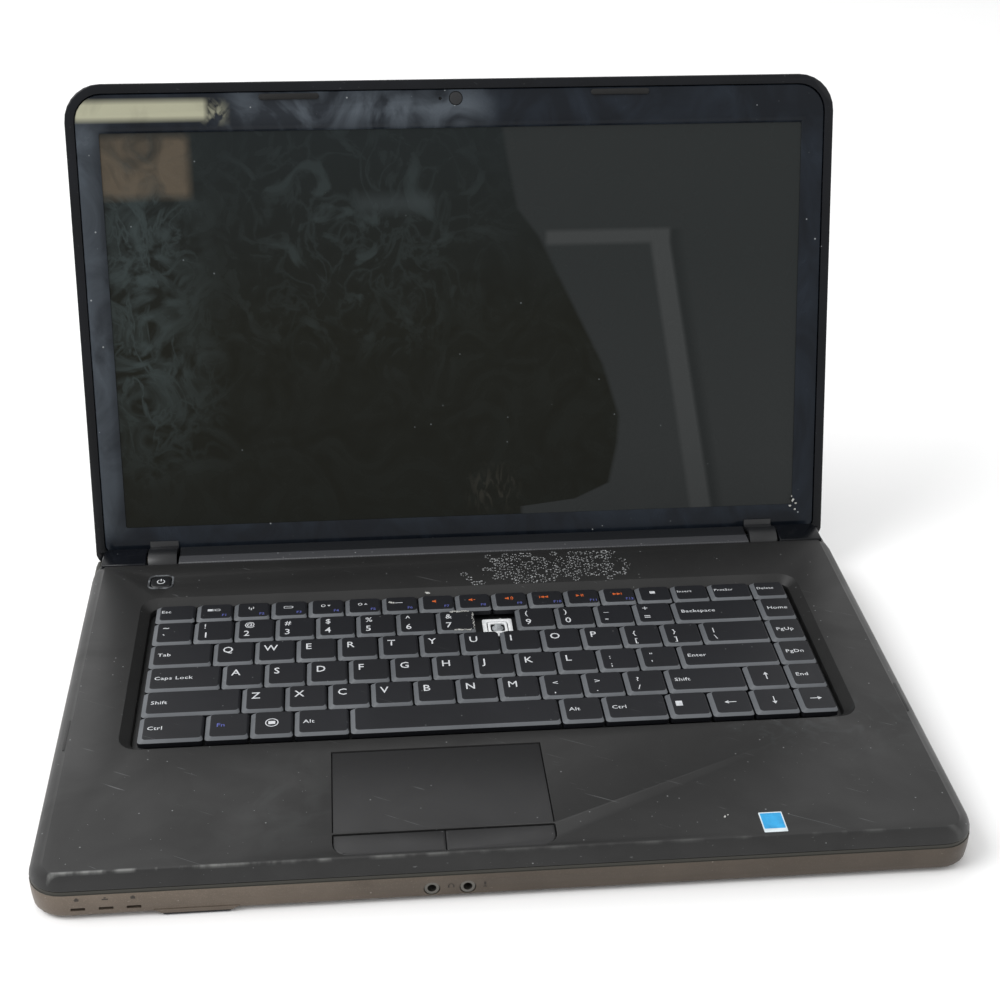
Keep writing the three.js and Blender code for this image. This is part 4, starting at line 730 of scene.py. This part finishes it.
def print_text(words, x, v, height, ink, body, spacing=1.0, width=1.0):
    """Text as flat faces; the strokes of M would cross if they were made bolder."""
    curve = bpy.data.curves.new("legend", "FONT")
    curve.body = words
    curve.size = height
    curve.space_character = spacing
    curve.offset = 0.0 if words == "M" else 0.006 * height
    curve.resolution_u = 2
    text = bpy.data.objects.new("legend", curve)
    bpy.context.scene.collection.objects.link(text)
    active(text)
    bpy.ops.object.convert(target="MESH")
    text = bpy.context.active_object
    text.data.transform(Matrix.Translation((x, v, INK_TOP)) @ Matrix.Diagonal((width, 1, 1, 1)))
    printed.setdefault((body, ink.name), []).append(text)


def print_shape(outlines, x, v, ink, body):
    """Flat polygons, each a list of points in millimetres from (x, v)."""
    mesh = bpy.data.meshes.new("mark")
    points = []
    faces = []
    for outline in outlines:
        faces.append(list(range(len(points), len(points) + len(outline))))
        points += [(x + a, v + b, INK_TOP) for a, b in outline]
    mesh.from_pydata(points, [], faces)
    printed.setdefault((body, ink.name), []).append(link_mesh(mesh, "mark"))


def ring(radius, width, steps=16, start=0.0, end=1.0):
    """A ring, or an arc of one, as flat quads."""
    quads = []
    for step in range(steps):
        a = 2 * math.pi * (start + (end - start) * step / steps)
        b = 2 * math.pi * (start + (end - start) * (step + 1) / steps)
        outer, inner = radius, radius - width
        quads.append([(outer * math.cos(a), outer * math.sin(a)), (outer * math.cos(b), outer * math.sin(b)),
                      (inner * math.cos(b), inner * math.sin(b)), (inner * math.cos(a), inner * math.sin(a))])
    return quads


def bar(x0, y0, x1, y1):
    return [(x0, y0), (x1, y0), (x1, y1), (x0, y1)]


def moved(outlines, a, b):
    """The outlines shifted by (a, b) in their plane."""
    return [[(x + a, y + b) for x, y in outline] for outline in outlines]


def arrow(turn):
    outlines = [bar(-2.6, -0.22, 1.4, 0.22), [(0.9, -1.15), (2.8, 0), (0.9, 1.15)]]
    c, s = math.cos(turn), math.sin(turn)
    return [[(x * c - y * s, x * s + y * c) for x, y in outline] for outline in outlines]


LETTERS = {1: "ZXCVBNM", 2: "ASDFGHJKL", 3: "QWERTYUIOP"}
DIGITS = ["`~", "1!", "2@", "3#", "4$", "5%", "6^", "7&", "8*", "9(", "0)", "-_", "=+"]
PAIRS = {(1, 8): ",<", (1, 9): ".>", (1, 10): "/?", (2, 10): ";:", (2, 11): "'\"", (3, 11): "[{",
         (3, 12): "]}", (3, 13): "\\|"}
WORDS = {(0, 0): "Ctrl", (0, 3): "Alt", (0, 5): "Alt", (0, 6): "Ctrl", (1, 0): "Shift", (1, 11): "Shift",
         (1, 13): "End", (2, 0): "Caps Lock", (2, 12): "Enter", (2, 13): "PgDn", (3, 0): "Tab",
         (3, 14): "PgUp", (4, 13): "Backspace", (4, 14): "Home", (5, 0): "Esc", (5, 14): "Insert",
         (5, 15): "PrntScr", (5, 16): "Delete"}


def body_of(key):
    return OWN_BODY.get(key, "base")


for row, letters in LETTERS.items():
    for index, letter in enumerate(letters):
        x0, x1, v0, v1 = KEYS[(row, index + 1)]
        print_text(letter, x0 + 4.4, v0 + 9.3, 6.5, ink_white, "base", width=0.94)
for index, pair in enumerate(DIGITS):
    if (4, index) == LOST:
        continue
    x0, x1, v0, v1 = KEYS[(4, index)]
    print_text(pair[0], x0 + 4.5, v0 + 3.9, 6.2, ink_white, "base", width=0.95)
    print_text(pair[1], x0 + 4.7, v0 + 11.6, 5.2, ink_white, "base", width=0.95)
for key, pair in PAIRS.items():
    x0, x1, v0, v1 = KEYS[key]
    print_text(pair[0], x0 + 5.6, v0 + 3.4, 4.6, ink_white, "base", width=1.1)
    print_text(pair[1], x0 + 5.6, v0 + 9.6, 4.2, ink_white, "base", width=1.15)
for key, words in WORDS.items():
    x0, x1, v0, v1 = KEYS[key]
    small = len(words) > 4 and x1 - x0 < 22
    height = 2.7 if small else 3.4
    if key[0] == 5:
        height = 3.0 if words == "Esc" else 2.6
    low = v0 + (7.6 if key[0] == 5 else 8.2)
    left = x0 + (2.9 if small or key[0] == 5 else 4.0)
    print_text(words, left, low, height, ink_white, body_of(key), 1.06, 1.12)
print_text("Fn", KEYS[(0, 1)][0] + 5.0, KEYS[(0, 1)][2] + 8.4, 3.6, ink_blue, "base", width=1.1)
for index in range(12):
    x0, x1, v0, v1 = KEYS[(5, index + 1)]
    print_text("F%d" % (index + 1), x1 - 5.4, v0 + 3.2, 2.7, ink_blue, "base")


def print_icons():
    """The function row's picture marks, the menu mark, the round mark and the four arrows."""
    def middle(column):
        x0, x1, v0, v1 = KEYS[(5, column)]
        return (x0 + x1) / 2 - 0.4, v0 + 8.6
    battery = [bar(-2.2, -0.9, 2, -0.6), bar(-2.2, 0.6, 2, 0.9), bar(-2.2, -0.9, -1.9, 0.9),
               bar(1.7, -0.9, 2, 0.9), bar(2, -0.35, 2.4, 0.35)]
    screens = [bar(-3, -0.8, -0.6, 0.9), bar(-0.2, -0.8, 0.1, 0.9), bar(0.6, -0.8, 3, -0.5),
               bar(0.6, 0.6, 3, 0.9), bar(0.6, -0.8, 0.9, 0.9), bar(2.7, -0.8, 3, 0.9)]
    mast = [bar(-0.2, -1.3, 0.2, 0.6)]
    mast += moved(ring(1.3, 0.35, 6, -0.14, 0.14), 0, 0.6)
    mast += moved(ring(1.3, 0.35, 6, 0.36, 0.64), 0, 0.6)
    bulb = moved(ring(1.1, 0.35, 10), -1, 0)
    lamp_low = bulb + [[(0.9, 0.5), (2.5, 0.5), (1.7, -0.7)]]
    lamp_high = bulb + [[(0.9, -0.5), (2.5, -0.5), (1.7, 0.7)]]
    pen = [bar(-2.2, -0.2, 1.8, 0.2)]
    horn = [[(-1.6, -0.5), (-0.8, -0.5), (0.2, -1.2), (0.2, 1.2), (-0.8, 0.5), (-1.6, 0.5)]]
    quiet = horn + [bar(0.7, -0.2, 1.5, 0.2)]
    loud = horn + moved(ring(1.5, 0.35, 5, -0.12, 0.12), 0.1, 0)
    loud += moved(ring(2.3, 0.35, 5, -0.12, 0.12), 0.1, 0)
    back = [[(-2.2, 0), (-0.2, -1), (-0.2, 1)], [(-0.2, 0), (1.8, -1), (1.8, 1)], bar(-2.6, -1, -2.3, 1)]
    play = [[(-2.2, -1), (-0.4, 0), (-2.2, 1)], bar(0.2, -1, 0.6, 1), bar(1, -1, 1.4, 1)]
    forward = [[(-1.8, -1), (0.2, 0), (-1.8, 1)], [(0.2, -1), (2.2, 0), (0.2, 1)], bar(2.3, -1, 2.6, 1)]
    page = [bar(-1.3, -1, 1.3, 1)]
    white = {1: screens, 2: mast, 3: battery, 4: lamp_low, 5: lamp_high, 6: pen, 13: page}
    orange = {7: horn, 8: quiet, 9: loud, 10: back, 11: play, 12: forward}
    for column, outlines in white.items():
        print_shape(outlines, *middle(column), ink_white, "base")
    for column, outlines in orange.items():
        print_shape(outlines, *middle(column), ink_orange, "base")
    x0, x1, v0, v1 = KEYS[(0, 2)]
    print_shape(ring(2.9, 0.45, 20), (x0 + x1) / 2, v0 + 9.6, ink_white, "base")
    print_shape([bar(-1.5, -1.1, 1.5, 1.1)], (x0 + x1) / 2, v0 + 9.6, ink_white, "base")
    x0, x1, v0, v1 = KEYS[(0, 7)]
    print_shape([bar(-1.6, -1.7, 1.4, 1.9)], x0 + 5.6, v0 + 9.8, ink_white, "base")
    for key, turn in (((0, 8), math.pi), ((0, 9), -math.pi / 2), ((0, 10), 0), ((1, 12), math.pi / 2)):
        x0, x1, v0, v1 = KEYS[key]
        print_shape(arrow(turn), (x0 + x1) / 2, v0 + 9.2, ink_white, "base")


print_icons()
inks = {material.name: material for material in (ink_white, ink_orange, ink_blue)}
for (body, ink_name), marks in printed.items():
    legend = join(marks)
    finish_piece(legend, "legends_%s_%s" % (ink_name.split("_")[-1], body), inks[ink_name], body,
                 DECK)


# Damage, dirt and small fittings
def flakes(name, places, size, material, body, matrix, lift=0.05, thick=0.12, sides=6):
    """Small ragged flakes lying on a surface; places are (x, y, z, scale)."""
    points = []
    faces = []
    for x, y, z, scale in places:
        start = len(points)
        turn = random.uniform(0, 6.28)
        long_way = random.uniform(0.6, 1.5)
        for level, shrink in ((lift, 1), (lift + thick, 0.8)):
            for step in range(sides):
                angle = turn + step * 2 * math.pi / sides
                radius = size * scale * shrink * random.uniform(0.6, 1.25)
                along = radius * long_way * math.cos(angle)
                points.append((x + along, y + radius * math.sin(angle), z + level))
        faces.append(list(range(start + sides - 1, start - 1, -1)))
        faces.append(list(range(start + sides, start + 2 * sides)))
        for step in range(sides):
            after = (step + 1) % sides
            faces.append([start + step, start + after, start + sides + after, start + sides + step])
    mesh = bpy.data.meshes.new(name)
    mesh.from_pydata(points, [], faces)
    return finish_piece(link_mesh(mesh, name), name, material, body, matrix)


RESIDUE_PITCH_X = 4.25
RESIDUE_PITCH_V = 4.1
RESIDUE_RADIUS = 1.45
RESIDUE_CRUMBS = 7


def residue():
    """Rings and crumbs of glue left by a peeled sticker, thinning out towards its edges."""
    places = []
    for row in range(7):
        for column in range(20):
            start = -3.2 + (2.1 if row % 2 else 0)
            x = start + column * RESIDUE_PITCH_X + random.uniform(-0.5, 0.5)
            v = 198.5 + row * RESIDUE_PITCH_V + random.uniform(-0.4, 0.4)
            keep = 0.95 if 10 < x < 72 else 0.5
            if row == 0:
                keep *= 0.7
            if x < 10 and row > 3:
                keep *= 0.3
            if 34 < x < 42 and row > 3:
                keep *= 0.4
            if random.random() > keep:
                continue
            for step in range(RESIDUE_CRUMBS):
                if random.random() < 0.18:
                    continue
                angle = step * 2 * math.pi / RESIDUE_CRUMBS
                places.append((x + RESIDUE_RADIUS * math.cos(angle), v + RESIDUE_RADIUS * math.sin(angle), 0,
                               random.uniform(0.5, 1.1)))
    return places


def key_edge_chips():
    """White chips along the rear, right and front right edges of the key beside the lost one."""
    x0, x1, v0, v1 = KEYS[(4, 7)]
    chips = []
    for step in range(26):
        chips.append((x0 + 7.5 + step / 25 * 8.6, v1 - 1.3 + random.uniform(-0.5, 0.4), KEY_TOP - 0.12,
                      random.uniform(0.5, 1.2)))
    for step in range(18):
        chips.append((x1 - 1.3 + random.uniform(-0.4, 0.4), v0 + 2.5 + step * 0.75, KEY_TOP - 0.12,
                      random.uniform(0.4, 1)))
    for step in range(14):
        chips.append((x0 + 8.5 + step * 0.6, v0 + 1.5 + random.uniform(-0.4, 0.4), KEY_TOP - 0.15,
                      random.uniform(0.5, 1.1)))
    return chips


def clear_of_pad_and_button(x, v):
    """Whether a place on the deck is off the touchpad and the power button."""
    return not (-72 < x < 20 and v < 71) and not (-162 < x < -144 and v > 200)


flakes("sticker_residue", residue(), 0.5, flake_grey, "base", DECK, 0.0, 0.06, 5)
flakes("chipped_key_edge", key_edge_chips(), 0.42, chip_white, "base", DECK, 0.0, 0.35)
lost = KEYS[LOST]
crumbs = [(lost[0] + 12.6, lost[3] - 0.8, PLATE_TOP, 1.6), (-22.6, 190.9, 0, 1.9), (-23.5, 191.4, 0, 1.2),
          (-41.5, 184.5, KEY_TOP, 1.2), (-40.6, 184.1, KEY_TOP, 1.5), (-39.6, 183.8, KEY_TOP, 1.1),
          (-36.4, 78.9, -5.6, 1.6), (87.2, 15.0, 0, 1.0), (88.6, 15.9, 0, 0.8)]
flakes("white_crumbs", crumbs, 0.5, chip_white, "base", DECK, 0.0, 0.3)
dust = []
for count, v_low, v_high in ((150, 6, 72), (60, 200, 224)):
    for _ in range(count):
        dust.append((random.uniform(-178, 178), random.uniform(v_low, v_high), 0, random.uniform(0.3, 1)))
dust = [spot for spot in dust if clear_of_pad_and_button(spot[0], spot[1])]
flakes("dust_on_palm_rest", dust, 0.16, flake_grey, "base", DECK, 0.0, 0.03, 5)
lid_chips = [(173.0, 20.6, LID_FACE, 1.6), (171.5, 17.6, LID_FACE, 1.2), (174.6, 19.0, LID_FACE, 1.0),
             (172.4, 22.8, LID_FACE, 0.8), (174.3, 15.8, LID_FACE, 0.9)]
flakes("chips_at_screen_corner", lid_chips, 0.6, chip_white, "lid", LID, 0.02, 0.15)


def flat_piece(name, outlines, w, material, body, matrix):
    """Flat polygons printed or stuck on a surface, at height w of its frame."""
    mesh = bpy.data.meshes.new(name)
    points = []
    faces = []
    for outline in outlines:
        faces.append(list(range(len(points), len(points) + len(outline))))
        points += [(x, y, w) for x, y in outline]
    mesh.from_pydata(points, [], faces)
    return finish_piece(link_mesh(mesh, name), name, material, body, matrix)


def rounded_plate(name, box, radius, material, body, edge=0.0, hole=0.0):
    """A plate on the deck with round corners, or a frame of it where a hole leaves that much rim."""
    x0, x1, y0, y1, z0, z1 = box
    bpy.ops.mesh.primitive_cube_add(size=1, location=((x0 + x1) / 2, (y0 + y1) / 2, (z0 + z1) / 2))
    plate = bpy.context.active_object
    plate.scale = (x1 - x0, y1 - y0, z1 - z0)
    bpy.ops.object.transform_apply(location=True, rotation=False, scale=True)
    for edge_line in plate.data.edges:
        low, high = (plate.data.vertices[i].co for i in edge_line.vertices)
        edge_line.select = abs(low.z - high.z) > (z1 - z0) / 2
    for face in plate.data.polygons:
        face.select = False
    bpy.ops.object.mode_set(mode="EDIT")
    bpy.ops.mesh.select_mode(type="EDGE")
    bpy.ops.mesh.bevel(offset=radius, segments=5, affect="EDGES")
    bpy.ops.mesh.select_all(action="DESELECT")
    bpy.ops.object.mode_set(mode="OBJECT")
    if hole:
        for face in plate.data.polygons:
            face.select = abs(face.normal.z) > 0.9
        bpy.ops.object.mode_set(mode="EDIT")
        bpy.ops.mesh.select_mode(type="FACE")
        bpy.ops.mesh.inset(thickness=hole, depth=0)
        bpy.ops.mesh.bridge_edge_loops()
        bpy.ops.object.mode_set(mode="OBJECT")
    if edge:
        soften(plate, edge, 2, 40)
    else:
        smooth(plate, 35)
    return finish_piece(plate, name, material, body, DECK)


POWER = (-153, 210.6)
POWER_REACH = 6.3
rounded_plate("power_button_frame", (POWER[0] - POWER_REACH, POWER[0] + POWER_REACH, POWER[1] - POWER_REACH,
                                     POWER[1] + POWER_REACH, -0.2, 0.35), 3.6,
              worn_chrome, "base", 0.12, 0.95)
symbol = moved(ring(2.0, 0.45, 18, 0.33, 1.17) + [bar(-0.25, 0.4, 0.25, 2.5)], *POWER)
flat_piece("power_symbol", symbol, 0.34, ink_white, "power_button", DECK)
rounded_plate("blue_sticker_margin", (101.0, 110.6, 4.3, 16.3, 0.0, 0.08), 0.4, sticker_edge, "base")
rounded_plate("blue_sticker", (101.5, 110.1, 6.4, 15.7, 0.06, 0.12), 0.3, sticker_blue, "base")
for name, x in (("side_stop_left", -183.4), ("side_stop_right", 183.4)):
    rounded_plate(name, (x - 0.7, x + 0.7, 80, 101, -1.4, -0.6), 0.6, palm_abs, "base", 0.15)


# The front stands upright, so its marks are drawn flat and turned up by a quarter
FRONT = BASE @ Matrix.Translation((0, FRONT_Y - 0.03, 0)) @ Matrix.Rotation(math.pi / 2, 4, "X")
front_marks = moved([[(-1.2, 0), (0, 1.1), (1.2, 0)], bar(-0.8, -0.7, 0.8, 0)], -169.3, 10.2)
front_marks += moved([bar(-1.2, -0.6, 1.2, 0), bar(-0.4, 0.2, 0.4, 0.8)], -158.5, 10.2)
front_marks += moved([bar(-0.9, -0.7, 0.9, 0.5), bar(-0.4, 0.5, 0.4, 0.9)], -147.8, 10.2)
front_marks += moved(ring(1.2, 0.35, 8, 0, 0.5) + [bar(-1.3, -0.9, -0.7, 0.1), bar(0.7, -0.9, 1.3, 0.1)],
                     -24.4, 7.2)
front_marks += moved([bar(-0.4, -0.2, 0.4, 1.2), bar(-0.15, -1.1, 0.15, -0.3), bar(-0.8, -1.3, 0.8, -1.05)],
                     -11.0, 7.2)
flat_piece("front_marks", front_marks, 0, dark_ink, "base", FRONT)


# Floor, backdrop and lamps
def white_stage_material():
    """A matt white sheet that the camera sees as white, and that keeps the laptop's shadow."""
    material, _, shader, _ = start_material("white_paper_sheet", 0.9, 0, 0.2)
    shader.inputs["Base Color"].default_value = (0.99, 0.99, 0.99, 1)
    return material


bpy.ops.mesh.primitive_plane_add(size=8, location=(0, 0, -0.0001))
floor = bpy.context.active_object
floor.name = "floor"
floor.data.materials.append(white_stage_material())


def lamp(name, place, target, size, power):
    light = bpy.data.lights.new(name, "AREA")
    light.shape = "DISK"
    light.size = size
    light.energy = power
    body = bpy.data.objects.new(name, light)
    bpy.context.scene.collection.objects.link(body)
    body.location = place
    body.rotation_euler = (Vector(target) - Vector(place)).to_track_quat("-Z", "Y").to_euler()


lamp("window_left", (-1.4, -0.4, 1.6), (0, 0, 0.05), 1.3, 27)
lamp("soft_right", (1.6, -1.0, 1.4), (0, 0, 0.05), 1.4, 4)
lamp("back_top", (-0.5, 1.4, 1.7), (0, 0, 0.1), 2.6, 14)

world = bpy.data.worlds.new("studio")
bpy.context.scene.world = world
world.use_nodes = True
sky = world.node_tree
ray = add_node(sky, "ShaderNodeLightPath")
seen = combine(sky, "MAXIMUM", ray.outputs["Is Camera Ray"],
               combine(sky, "MAXIMUM", ray.outputs["Is Glossy Ray"], ray.outputs["Is Transmission Ray"]))
background = sky.nodes["Background"]
background.inputs["Color"].default_value = (1, 1, 1, 1)
sky.links.new(ramp(sky, seen, 0, 1, 0.7, 1.0), background.inputs["Strength"])

bpy.context.scene.view_settings.view_transform = "Standard"
